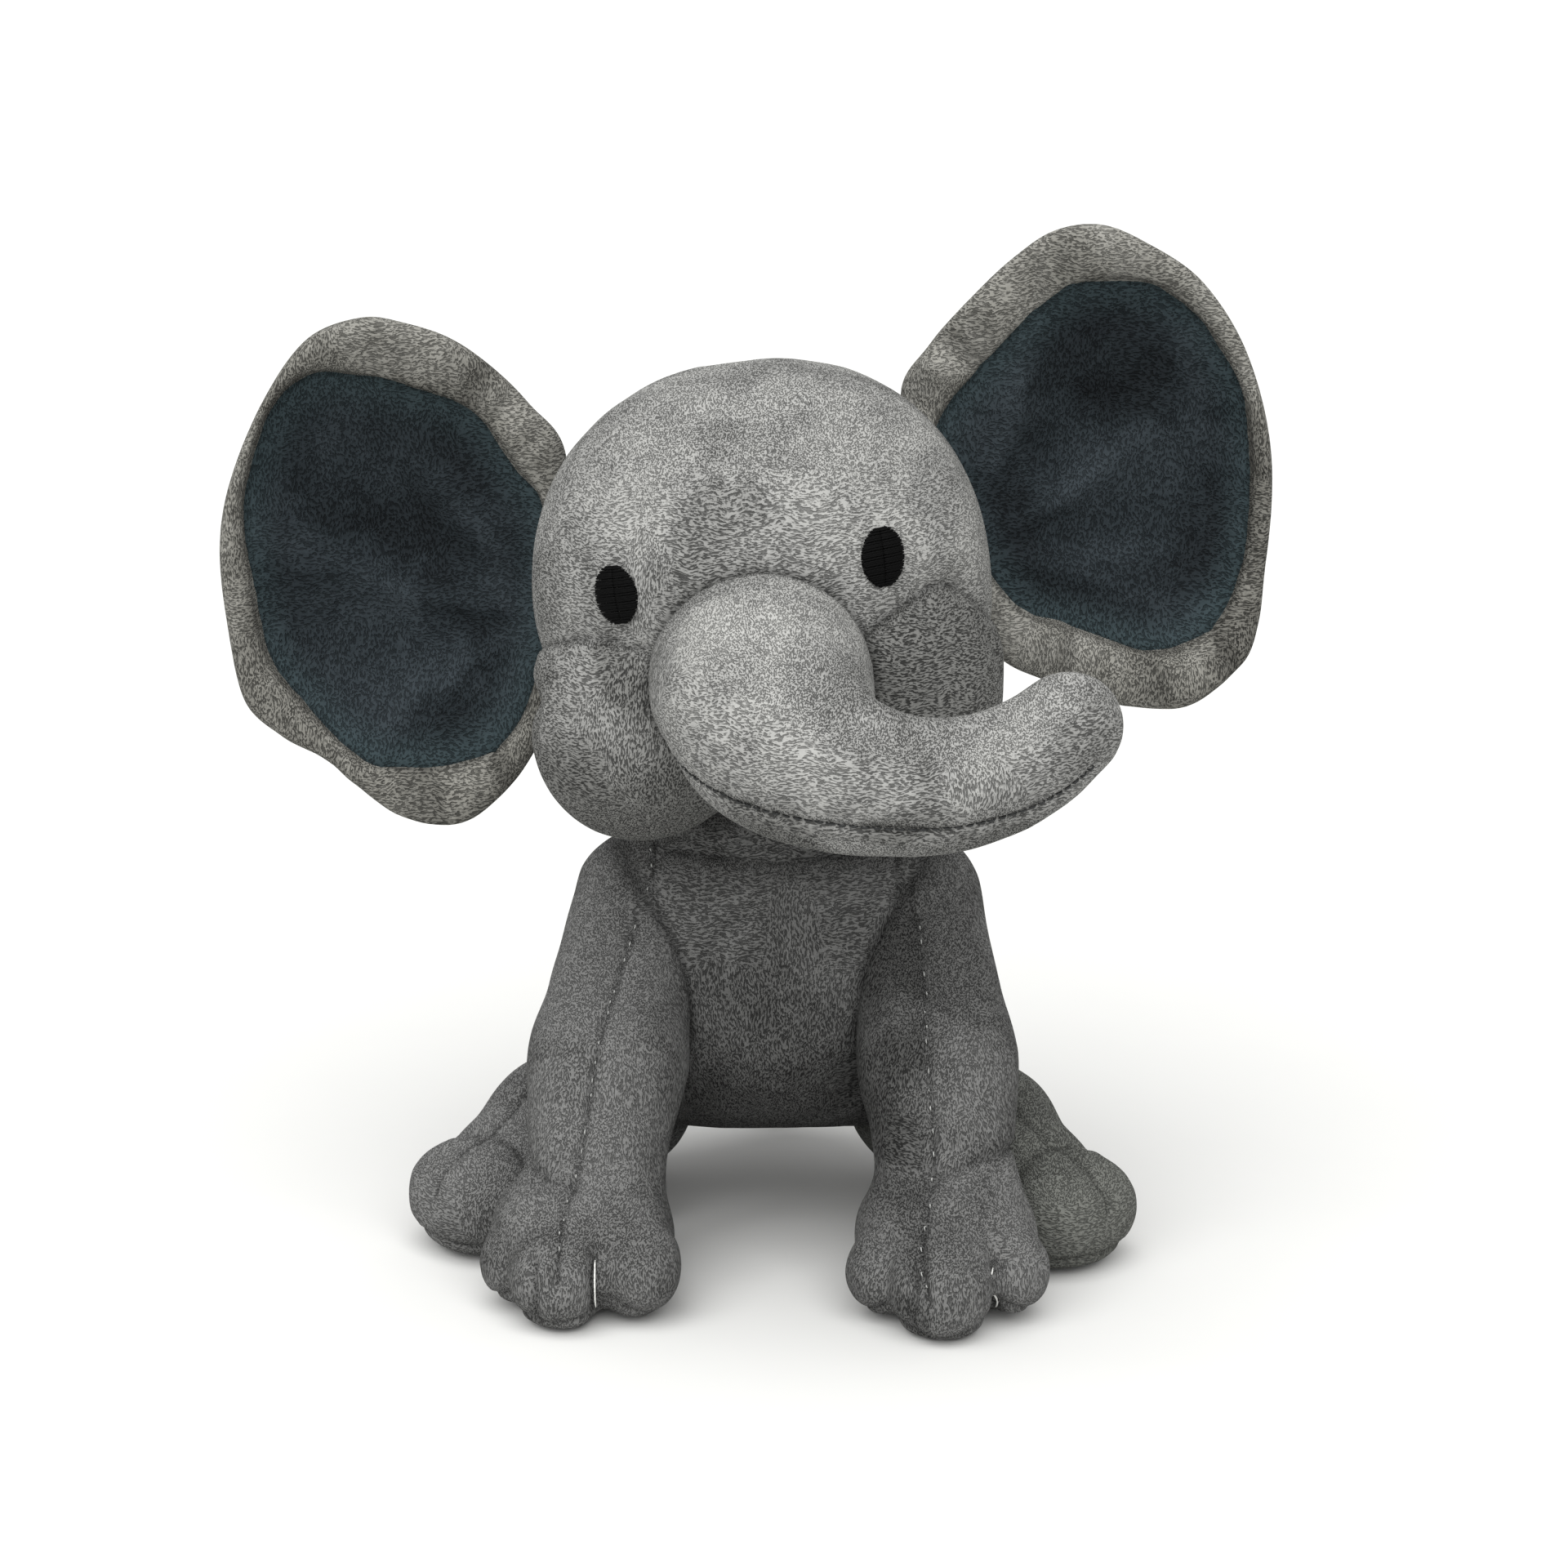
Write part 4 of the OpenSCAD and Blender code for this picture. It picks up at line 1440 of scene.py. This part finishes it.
    def closed(self, name: str, p: np.ndarray, q: np.ndarray, t: np.ndarray) -> bpy.types.Object:
        """Joins rings into one closed skin, with a point at each end.

        Args:
            name: Name of the piece.
            p: Outwards from the seam, as rings by points.
            q: Up along the seam.
            t: Forwards.

        Returns:
            The object.
        """
        rings, n = p.shape
        places = self.place(p.ravel(), q.ravel(), t.ravel())
        ends = self.place(
            np.array([p[0].mean(), p[-1].mean()]), np.array([q[0].mean(), q[-1].mean()]),
            np.array([t[0].mean(), t[-1].mean()]),
        )
        places = np.vstack([places, ends])
        faces = []
        for k in range(rings - 1):
            for i in range(n):
                j = (i + 1) % n
                faces.append([k * n + i, (k + 1) * n + i, (k + 1) * n + j, k * n + j])
        first, last = rings * n, rings * n + 1
        faces += [[first, i, (i + 1) % n] for i in range(n)]
        faces += [[last, (rings - 1) * n + (i + 1) % n, (rings - 1) * n + i] for i in range(n)]
        if self.side is Side.LEFT:
            faces = [face[::-1] for face in faces]
        return new_mesh(name, places, faces)

    def outer(self) -> bpy.types.Object:
        """Outer fabric: the rolled rim in front and the plain back.

        Returns:
            The object.
        """
        rows: list[tuple[float, float, float]] = []
        for a in np.linspace(0.06, 0.95, 16):
            rows.append((float(a), 0.0, -2.6))
        for k in range(1, 17):
            turn = math.pi * k / 16
            across = (1 - math.cos(turn)) / 2
            height = 4.6 * math.sin(turn) ** 0.8 - 1.6 * (k / 16)
            rows.append((1.0, float(across) if k < 16 else 1.0, height))
        for k in range(1, 10):
            turn = math.pi / 2 * k / 9
            rows.append((1.0, float(math.cos(turn)) ** 1.0, -1.6 - 4.2 * math.sin(turn)))
        for a in np.linspace(0.95, 0.03, 18):
            rows.append((float(a), 0.0, -6.2 - 0.6 * (1 - float(a))))
        p, q, t, angle = self.sheet_grid(rows)
        front = np.zeros(len(rows))
        front[16:33] = np.sin(np.linspace(0.15, math.pi, 17))
        pucker = self.rim_pucker(angle) * front[:, None]
        back = np.arange(len(rows)) >= 33
        folds = self.folds(p, q)
        folding = np.where(back, 0.8, 0.9)[:, None] * (front[:, None] < 0.1)
        height = self.cup(p, q) + t + 0.75 * pucker + folds * folding
        flat = np.stack([p.ravel(), q.ravel(), t.ravel()], 1)
        height += 0.5 * wrinkles(flat, 24, 4 + self.side.value).reshape(p.shape)
        obj = self.closed(f"ear_{self.side.word}_rim_and_back", p, q, height)
        count = len(obj.data.vertices)
        crease = np.zeros(count)
        ring = np.repeat(np.arange(len(rows)), self.around)
        # painted shade in the fold where the rim meets the lining and in the valleys of the rim's gathers
        crease[: len(ring)] = np.clip(1 - np.abs(ring - 16.5) / 1.8, 0, 1) * 0.75
        crease[: len(ring)] += np.clip(-pucker.ravel() - 0.15, 0, 1) * 0.4
        self.finish(obj, RIM_PLUSH, np.clip(crease, 0, 0.9))
        # painted light on the right ear's rim: paler towards the top, painted shade where the rim turns under at the
        # bottom
        tone = np.zeros(count)
        if self.side is Side.RIGHT:
            tone[: len(ring)] = 0.25 - 0.75 * np.exp(-(((angle.ravel() + 0.7) / 0.9) ** 2))
        store(obj, "tone", tone)
        return obj

    def lining(self) -> bpy.types.Object:
        """Dark lining, a thin sheet whose edge is tucked under the rim.

        Returns:
            The object.
        """
        rows = [(float(a), 0.0, 0.0) for a in np.linspace(0.02, 1.0, 34)]
        rows.append((1.0, 0.14, 0.3))
        front = len(rows)
        rows.append((1.0, 0.14, -0.9))
        rows += [(float(a), 0.0, -1.2) for a in np.linspace(1.0, 0.04, 18)]
        p, q, t, angle = self.sheet_grid(rows)
        r = np.array([row[0] for row in rows])[:, None]
        sag = -0.9 + 1.7 * np.clip((r - 0.72) / 0.28, 0, 1) ** 2
        ripple = np.sin(angle * 31 + 1.5 * np.sin(angle * 7))
        gather = ripple * np.clip((r - 0.82) / 0.18, 0, 1) * (1.02 - r) * 7
        height = self.cup(p, q) + t + sag + 1.0 * self.folds(p, q) + 0.6 * gather
        flat = np.stack([p.ravel(), q.ravel(), np.zeros(p.size)], 1)
        height += 0.7 * wrinkles(flat, 21, 9 + self.side.value).reshape(p.shape)
        obj = self.closed(f"ear_{self.side.word}_dark_lining", p, q, height)
        ring = np.repeat(np.arange(len(rows)), self.around)
        # painted shade along the lining's hem, where it tucks under the rim
        crease = np.zeros(len(obj.data.vertices))
        hem = np.clip((r.ravel()[ring] - 0.955) / 0.045, 0, 1) * 0.6
        crease[: len(ring)] = np.where(ring < front, hem, 0)
        self.finish(obj, LINING, crease)
        # painted sheen: the lining's edge, where it turns up, is mixed towards a paler teal
        rim = np.zeros(len(obj.data.vertices))
        rim[: len(ring)] = np.clip((r.ravel()[ring] - 0.74) / 0.26, 0, 1) ** 1.5 * 0.7
        store(obj, "rim", rim)
        # painted light on the lining's folds: ridges paler as painted highlights, hollows darker as painted shade
        tone = np.zeros(len(obj.data.vertices))
        tone[: len(ring)] = 0.07 * self.folds(p, q).ravel()
        store(obj, "tone", tone)
        return obj

    def finish(self, obj: bpy.types.Object, fabric: PileFabric, crease: np.ndarray) -> None:
        """Stores how the cloth lies and gives the piece its fabric.

        Args:
            obj: The piece.
            fabric: Its fabric.
            crease: How much painted shade darkens each point, for the crease it lies in.
        """
        store(obj, "crease", crease)
        store(obj, "cloth_place", places_of(obj) / 1000)
        store(obj, "cloth_top", np.zeros(len(obj.data.vertices)))
        store(obj, "tone", np.zeros(len(obj.data.vertices)))
        store(obj, "nap", np.full(len(obj.data.vertices), Nap.MIXED.value))
        obj.data.materials.append(material(fabric))

    def build(self) -> None:
        """Makes the ear's two pieces."""
        word = self.side.word
        outer, lining = self.outer(), self.lining()
        start = self.place(np.array([-4.0]), np.array([0.0]), np.array([0.0]))[0]
        end = self.place(np.array([16.0]), np.array([0.0]), np.array([0.0]))[0]
        for piece in (outer, lining):
            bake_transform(piece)
        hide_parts(f"ear_{word}_outer", f"ear_{word}_wadding")
        width, length, area = self.lining_flat[self.side]
        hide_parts(f"ear_{word}_lining")
        LOG.info("ear_%s: outer and lining", word)


@dataclass
class Torso:
    """Stuffed body, leaning forward, with a belly panel between the front legs."""

    lean: float = 20.0
    half: tuple[float, float, float] = (45.5, 46.0, 72.0)
    down: float = 46.0

    def shape(self, p: Points) -> np.ndarray:
        """Field of the torso with its neck stump.

        Args:
            p: Places in the body's axes.

        Returns:
            The field: under 0 inside the form, in millimetres.
        """
        q = tilt(p - np.array([0.0, 30.0, 53.0]), -self.lean, 0)
        body = egg(q, (0, 0, 0), self.half, self.down, 2.15)
        centred = p - np.array([2.0, 0.0, 0.0])
        mirrored = np.abs(centred * np.array([1, 0, 0])) + centred * np.array([0, 1, 1])
        shoulder = egg(mirrored, (27.5, 4.0, 91.0), (19.0, 20.0, 20.0))
        chest = egg(p, (1.0, -1.0, 76.0), (33.0, 22.0, 34.0))
        value = melt(melt(body, shoulder, 12), chest, 14)
        neck = limb(p, NECK_AT, NECK_AT + np.array([0, 0, 1.0]), 28.0, 28.0)
        value = melt(value, neck, 6)
        seat = -((p[:, 2] - 16.5) * math.cos(math.radians(14)) + (p[:, 1] - 44.0) * math.sin(math.radians(14)))
        return -melt(-value, -seat, 6)

    def seams(self) -> list[Seam]:
        """Seams of the torso: the belly panel's edges, the back and the waist.

        Returns:
            The seams.
        """
        found = []
        for s in (-1, 1):
            edge = [(s * 34 + 1, -14, 112), (s * 33 + 1, -18, 101), (s * 34.5 + 1, -18, 89)]
            found.append(Seam(smooth_line(edge), 1.1, 1.0, 1.2, 5.0, 0.7))
        collar = [(-27, -13, 106), (0, -20, 104.5), (29, -13, 107)]
        found.append(Seam(smooth_line(collar), 0.8, 0.9, 0.8, 4.0, 0.5))
        back = [(0, 44, 112), (0, 62, 92), (0, 74, 66), (0, 78, 45), (0, 70, 25)]
        found.append(Seam(smooth_line(back), 1.1, 1.1, 1.0, 6.0, 0.7))
        return found

    def closing(self) -> bpy.types.Object:
        """Ladder stitches that close the filling hole in the back seam.

        Returns:
            The object.
        """
        runs = []
        for k in range(8):
            z = 62 + 4.4 * k
            x = np.linspace(-2.2, 2.2, 7)
            q = np.stack([x, np.full(7, 78.0), z + 0.5 * x], 1)
            on = settle(self.shape, q, 6)
            _, grad = slope(self.shape, on)
            lift = 0.2 - 1.6 * np.exp(-((x / 1.0) ** 2))
            runs.append(on + grad / np.linalg.norm(grad, axis=1, keepdims=True) * lift[:, None])
        return threads("closing_thread", runs, 0.3, TACK_THREAD)

    def build(self) -> None:
        """Makes the torso and the thread that closes its back."""
        torso = StuffedForm(
            "torso_plush", self.shape, (-60, -34, 4), (60, 92, 128), material(GREY_PLUSH), self.seams(),
            # painted shade: the pile darkens towards the bottom, where the belly turns under
            Padding(2.6, 4.0, 1.2, 0.85), lambda p: 0.02 - 0.55 * np.clip((72 - p[:, 2]) / 45, 0, 1),
            meets=[FrontLeg(side).shape for side in Side] + [HindLeg(side).shape for side in Side],
        ).build()
        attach(torso, "torso")
        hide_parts("belly_panel", "side_panel_left", "side_panel_right", "seat_panel", "body_stuffing")
        flecks = seam_flecks("belly_seam_thread", self.shape, settle(self.shape, self.seams()[0].line, 4), 3)
        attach(flecks, "torso")
        thread = self.closing()
        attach(thread, "torso")
        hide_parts("closing_stitches")


@dataclass
class Neck:
    """Short wide neck between the body and the head, with its own stuffing."""

    middle: tuple[float, float, float] = (0.0, 13.0, 108.5)
    half: tuple[float, float, float] = (37.0, 31.0, 14.0)

    def sleeve(self, p: Points) -> np.ndarray:
        """Field of the neck's skin, which is sewn to the body below and to the head above."""
        return egg(p, self.middle, self.half)

    def core(self, p: Points) -> np.ndarray:
        """Field of the neck's stuffing."""
        return -melt(-egg(p, tuple(NECK_AT), (24.0, 24.0, 20.0)), -(106.4 - p[:, 2]), 2)

    def build(self) -> None:
        """Makes the neck's skin and its stuffing."""
        skin = StuffedForm(
            "neck_plush", self.sleeve, (-42, -24, 90), (42, 50, 127), material(GREY_PLUSH), [],
            Padding(2.4, 3.0, 0.5, 0.8),
        ).build()
        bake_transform(skin)
        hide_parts("neck_band")
        stuffing = StuffedForm(
            "neck_stuffing_plush", self.core, (-26, -18, 100), (26, 34, 114), material(GREY_PLUSH), [],
            Padding(2.4, 3.0, 0.5, 0.8),
        ).build()
        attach(stuffing, "neck")
        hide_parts("neck_stuffing")


@dataclass(frozen=True)
class FrontPattern:
    """Sizes that differ between the two front legs, as hand filling leaves them; X outwards.

    Attributes:
        shoulder: Top of the leg's middle line.
        knee: Its middle.
        ankle: Its foot end.
        foot: Middle of the foot.
        foot_half: Half sizes of the foot.
        toes: Middle and radius of each toe.
        tack_x: Where the tack between two toes lies.
        tack_span: Heights of the tack's ends.
        seam: Line of the front seam.
    """

    shoulder: tuple[float, float, float]
    knee: tuple[float, float, float]
    ankle: tuple[float, float, float]
    foot: tuple[float, float, float]
    foot_half: tuple[float, float, float]
    toes: tuple[tuple[float, float, float, float], ...]
    tack_x: float
    tack_span: tuple[float, float]
    seam: tuple[tuple[float, float, float], ...]


FRONT_PATTERNS = {
    Side.LEFT: FrontPattern(
        (32.5, 2.0, 89.0), (41.0, -26.0, 54.0), (44.0, -38.0, 30.0), (46.5, -48.0, 15.0), (22.8, 23.0, 18.5),
        ((32.5, -62.5, 12.5, 11.2), (51.0, -66.5, 12.0, 12.6), (62.5, -55.0, 11.0, 9.0)), 41.0, (18.5, 4.5),
        ((33, -20, 90), (38, -34, 78), (42.5, -44, 62), (46.0, -54, 46), (48.5, -58, 31),
         (50.5, -66, 22), (51, -76, 14)),
    ),
    Side.RIGHT: FrontPattern(
        (36.5, 2.0, 89.0), (42.2, -27.0, 54.0), (44.2, -41.0, 30.0), (43.5, -51.0, 15.0), (22.6, 24.0, 18.5),
        ((27.5, -63.0, 11.5, 9.2), (41.5, -72.5, 12.0, 13.2), (58.5, -63.5, 12.0, 9.8)), 54.6, (16.5, 2.5),
        ((37, -20, 90), (38, -36, 78), (38.5, -46, 62), (39, -56, 46), (39, -61, 31),
         (38.5, -72, 22), (39, -84, 12)),
    ),
}


@dataclass
class FrontLeg:
    """Stuffed front leg on a foot with three toes."""

    side: Side

    @property
    def pattern(self) -> FrontPattern:
        """Sizes of this leg."""
        return FRONT_PATTERNS[self.side]

    def own(self, p: Points) -> Points:
        """Places as if the leg were on +X."""
        return p * np.array([self.side.value, 1, 1])

    def shape(self, p: Points) -> np.ndarray:
        """Field of the leg.

        Args:
            p: Places in the body's axes.

        Returns:
            The field: under 0 inside the form, in millimetres.
        """
        q = self.own(p)
        cut = self.pattern
        leg = melt(limb(q, cut.shoulder, cut.knee, 17.8, 19.0), limb(q, cut.knee, cut.ankle, 19.0, 17.8), 6)
        foot = egg(q, cut.foot, cut.foot_half, 17.0, 2.3)
        value = melt(leg, foot, 4)
        toes = np.full(len(q), 1e9)
        for x, y, z, r in cut.toes:
            toes = melt(toes, egg(q, (x, y, z), (r, r * 1.15, r * 1.12)), 0.8)
        value = melt(value, toes, 1.4)
        return -melt(-value, p[:, 2] - 0.4, 2.5)

    def mirror(self, points: Sequence[Sequence[float]]) -> Points:
        """A smooth line through points given for the leg on +X."""
        return self.own(smooth_line(points))

    def seams(self) -> list[Seam]:
        """Seams of the leg: down its front, round its ankle, between the toes and round the sole.

        Returns:
            The seams.
        """
        x, y, _ = self.pattern.foot
        a, b, _ = self.pattern.foot_half
        last = self.pattern.seam[4][0]
        ankle = [
            (last, -57, 33), (last + 9, -55, 36), (last + 17, -46, 36), (x + a - 2, -36, 35),
            (x + a - 1, -26, 33),
        ]
        sole = [(x + a * math.cos(t), y - 4 + (b + 3) * math.sin(t), 3.2) for t in np.linspace(0, 5.9, 17)]
        return [
            Seam(self.mirror(self.pattern.seam), 1.1, 0.9, 1.1, 4.5, 0.7),
            Seam(self.mirror(ankle), 1.0, 1.2, 1.5, 5.0, 0.5),
            Seam(self.own(smooth_line(sole, closed=True)), 0.9, 1.0, 0.6, 3.0, 0.5),
            Seam(self.tack_line(), 1.6, 1.1, 1.5, 3.5, 0.7),
            Seam(self.toe_gap(), 1.2, 1.0, 1.2, 3.0, 0.6),
        ]

    def tack_line(self) -> Points:
        """Line of the tack thread down the front of the foot."""
        heights = np.linspace(*self.pattern.tack_span, 14)
        q = np.stack([np.full(14, self.pattern.tack_x), np.full(14, -84.0), heights], 1)
        return settle(self.shape, self.own(q), 12, (0, 1, 0))

    def flecks(self) -> bpy.types.Object:
        """Short lengths of light thread that show through the pile of the front seam.

        Returns:
            The object.
        """
        line = settle(self.shape, self.mirror(self.pattern.seam), 4)
        return seam_flecks(f"front_leg_{self.side.word}_seam_thread", self.shape, line, 5 + self.side.value)

    def toe_gap(self) -> Points:
        """Line of the crease between the other two toes.

        Returns:
            Points along the crease.
        """
        cut = self.pattern
        pair = cut.toes[1:] if self.side is Side.LEFT else cut.toes[:2]
        x = (pair[0][0] * pair[1][3] + pair[1][0] * pair[0][3]) / (pair[0][3] + pair[1][3])
        heights = np.linspace(19, 5, 10)
        q = np.stack([np.full(10, x), np.full(10, -84.0), heights], 1)
        return settle(self.shape, self.own(q), 12, (0, 1, 0))

    def tacks(self) -> bpy.types.Object:
        """Tight thread between two toes.

        Returns:
            The object, riding on the leg.
        """
        on = self.tack_line()
        _, grad = slope(self.shape, on)
        run = on - grad / np.linalg.norm(grad, axis=1, keepdims=True) * 1.6
        return threads(f"front_leg_{self.side.word}_toe_thread", [run], 0.24, TACK_THREAD)

    def build(self) -> None:
        """Makes the leg and its toe thread."""
        word = self.side.word
        body = f"front_leg_{word}"
        s = self.side.value
        xs = sorted((s * 14, s * 76))
        leg = StuffedForm(
            f"{body}_plush", self.shape, (xs[0], -92, -2), (xs[1], 28, 118), material(GREY_PLUSH),
            self.seams(),
            Padding(2.3, 4.0, 1.0, 0.85), self.tone, nap=Nap.UPRIGHT, meets=[Torso().shape],
        ).build()
        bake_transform(leg)
        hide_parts(f"{body}_outer_panel", f"{body}_inner_panel", f"{body}_sole", f"{body}_stuffing")
        flecks = self.flecks()
        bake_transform(flecks)
        tack = self.tacks()
        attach(tack, body)
        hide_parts(f"{body}_toe_stitches")

    def tone(self, p: Points) -> np.ndarray:
        """The two panels of a leg lie a little paler and darker.

        Args:
            p: Places in the body's axes.

        Returns:
            How much paler, or below 0 darker, each place is.
        """
        q = self.own(p)
        seam = np.array(self.pattern.seam, float)[::-1]
        edge = np.interp(q[:, 2], seam[:, 2], seam[:, 0])
        inner = np.clip((edge - q[:, 0]) / 1.0, 0, 1)
        foot = np.clip((36 - q[:, 2]) / 2, 0, 1)
        if self.side is Side.RIGHT:
            return 0.08 + 0.22 * foot * (1 - inner) - 0.4 * inner * (1 - 0.6 * foot)
        return 0.12 + 0.12 * inner


@dataclass
class HindLeg:
    """Stuffed hind leg that lies forward and outward on the floor, the one on +X a little further forward."""

    side: Side

    @property
    def reach(self) -> float:
        """How far the foot lies forward of the even place."""
        return 10.0 if self.side is Side.RIGHT else 0.0

    def own(self, p: Points) -> Points:
        """Places as if the leg were on +X."""
        return p * np.array([self.side.value, 1, 1])

    def shape(self, p: Points) -> np.ndarray:
        """Field of the leg.

        Args:
            p: Places in the body's axes.

        Returns:
            The field: under 0 inside the form, in millimetres.
        """
        q = self.own(p)
        y = -12.5 - self.reach
        thigh = melt(
            limb(q, (42.0, 36.0, 25.0), (56.0, 12.0 - self.reach / 3, 21.5), 21.5, 19.0),
            limb(q, (56.0, 12.0 - self.reach / 3, 21.5), (70.0, y + 5, 16.5), 19.0, 15.5), 6,
        )
        foot = egg(tilt(q - np.array([73.5, y, 14.0]), 35, 2), (0, 0, 0), (18.5, 20.5, 14.2), 15.0, 2.3)
        value = melt(thigh, foot, 6)
        return -melt(-value, p[:, 2] - 0.4, 2.5)

    def seams(self) -> list[Seam]:
        """Seams of the leg: along its top, round its ankle and round the sole.

        Returns:
            The seams.
        """
        y = -12.5 - self.reach
        top = [(48, 24, 46), (56, 14, 40), (64, y + 13, 35), (71, y + 4, 31), (79, y - 6, 27), (86, y - 13, 18)]
        ankle = [(57, y - 12, 30), (66, y - 4, 34), (75, y + 3, 32), (84, y + 10, 26), (91, y + 13, 18)]
        sole = [(75 + 18 * math.cos(t), y + 19 * math.sin(t), 3.2) for t in np.linspace(0, 5.9, 15)]
        return [
            Seam(self.own(smooth_line(top)), 1.1, 1.0, 1.2, 5.0, 0.7),
            Seam(self.own(smooth_line(ankle)), 1.2, 1.2, 1.8, 5.0, 0.6),
            Seam(self.own(smooth_line(sole, closed=True)), 0.9, 1.0, 0.6, 3.0, 0.5),
        ]

    def build(self) -> None:
        """Makes the leg."""
        word, s = self.side.word, self.side.value
        body = f"hind_leg_{word}"
        xs = sorted((s * 2, s * 102))
        fabric = GREY_PLUSH if self.side is Side.LEFT else DARK_PLUSH
        leg = StuffedForm(
            f"{body}_plush", self.shape, (xs[0], -48, -2), (xs[1], 68, 62), material(fabric), self.seams(),
            Padding(2.4, 4.0, 1.0, 0.85), lambda p: np.full(len(p), 0.38 if s < 0 else 0.4),
            meets=[Torso().shape],
        ).build()
        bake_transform(leg)
        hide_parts(f"{body}_upper_panel", f"{body}_under_panel", f"{body}_sole", f"{body}_stuffing")


@dataclass
class Tail:
    """Thin stuffed tail with a fuller end."""

    top: tuple[float, float, float] = (0.0, 82.2, 40.0)

    def shape(self, p: Points) -> np.ndarray:
        """Field of the tail.

        Args:
            p: Places in the body's axes.

        Returns:
            The field: under 0 inside the form, in millimetres.
        """
        x, y, z = self.top
        cord = limb(p, (x, y - 6, z + 2), (x, y, z - 20), 4.6, 4.0)
        tuft = egg(p, (x, y + 0.5, z - 27.0), (5.6, 5.6, 7.5))
        return melt(cord, tuft, 3)

    def build(self) -> None:
        """Makes the tail."""
        x, y, z = self.top
        tail = StuffedForm(
            "tail_plush", self.shape, (x - 10, y - 16, z - 40), (x + 10, y + 10, z + 12), material(GREY_PLUSH),
            [Seam(smooth_line([(x, y + 5, z), (x, y + 5, z - 14), (x, y + 7, z - 28)]), 0.5, 0.7, 0.4, 2.0, 0.6)],
            Padding(1.6, 3.0, 0.6, 0.8), None, 0.1,
        ).build()
        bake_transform(tail)
        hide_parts("tail_skin", "tail_stuffing")


# --- studio ---


@dataclass
class Studio:
    """Pale floor, soft light and the camera."""

    target: tuple[float, float, float] = (0.0, 0.0, 118.0)
    distance: float = 900.0
    elevation: float = 13.0

    def camera(self) -> None:
        """Sets the camera in front of the toy, a little above it."""
        e = math.radians(self.elevation)
        target = (np.array(self.target) + ORIGIN) / 1000
        at = target + self.distance / 1000 * np.array([0, -math.cos(e), math.sin(e)])
        data = bpy.data.cameras.new("camera")
        data.lens, data.sensor_width = 81.0, 36.0
        data.shift_x, data.shift_y = 0.0089, 0.0036
        data.clip_start, data.clip_end = 0.05, 200
        camera = bpy.data.objects.new("camera", data)
        camera.location = at
        camera.rotation_euler = Vector(target - at).to_track_quat("-Z", "Y").to_euler()
        bpy.context.scene.collection.objects.link(camera)
        bpy.context.scene.camera = camera

    def lamp(self, name: str, way: Sequence[float], spread: float, strength: float) -> None:
        """Hangs a broad soft lamp that is far away.

        Args:
            name: Name of the lamp.
            way: Direction from the toy to the lamp.
            spread: Angle that the lamp fills, in degrees.
            strength: Its strength.
        """
        data = bpy.data.lights.new(name, "SUN")
        data.angle, data.energy = math.radians(spread), strength
        lamp = bpy.data.objects.new(name, data)
        lamp.location = Vector(way).normalized() * 3
        lamp.rotation_euler = Vector(way).to_track_quat("Z", "Y").to_euler()
        bpy.context.scene.collection.objects.link(lamp)

    def floor(self) -> None:
        """Lays a pale floor of matt card."""
        mesh = bpy.data.meshes.new("floor")
        s = 60.0
        mesh.from_pydata([(-s, -s, 0), (s, -s, 0), (s, s, 0), (-s, s, 0)], [], [(0, 1, 2, 3)])
        floor = bpy.data.objects.new("floor", mesh)
        card = bpy.data.materials.new("white_card")
        card.use_nodes = True
        tree = card.node_tree
        tree.nodes.clear()
        place = add_node(tree, "ShaderNodeTexCoord").outputs["Object"]
        grain = add_node(
            tree, "ShaderNodeTexNoise", {}, {"Vector": place, "Scale": 30.0, "Detail": 2.0}
        ).outputs[0]
        tint = add_node(
            tree, "ShaderNodeMapRange", {}, {"Value": grain, "To Min": 0.985, "To Max": 1.0}
        ).outputs[0]
        shade = add_node(
            tree, "ShaderNodeMix", {"data_type": "RGBA", "blend_type": "MULTIPLY"},
            {0: 1.0, 6: linear("#cfcfcd"), 7: tint},
        ).outputs[2]
        shader = add_node(tree, "ShaderNodeBsdfPrincipled", {}, {"Base Color": shade, "Roughness": 0.9})
        add_node(tree, "ShaderNodeOutputMaterial", {}, {"Surface": shader.outputs[0]})
        floor.data.materials.append(card)
        bpy.context.scene.collection.objects.link(floor)

    def build(self) -> None:
        """Sets up camera, floor, sky and lamps."""
        self.camera()
        self.floor()
        world = bpy.data.worlds.new("sky")
        bpy.context.scene.world = world
        world.use_nodes = True
        sky = world.node_tree.nodes["Background"]
        sky.inputs[0].default_value = (1, 1, 1, 1)
        sky.inputs[1].default_value = 0.7
        self.lamp("key", (-0.15, -0.85, 1.1), 80, 4.4)
        bpy.context.scene.view_settings.view_transform = "Standard"


def main() -> None:
    """Builds every sub-assembly in order."""
    logging.basicConfig(level=logging.INFO, format="%(message)s")
    Studio().build()
    Torso().build()
    Neck().build()
    Head().build()
    Trunk().build()
    for side in Side:
        Ear(side).build()
        FrontLeg(side).build()
        HindLeg(side).build()
    Tail().build()


if __name__ == "__main__":
    main()
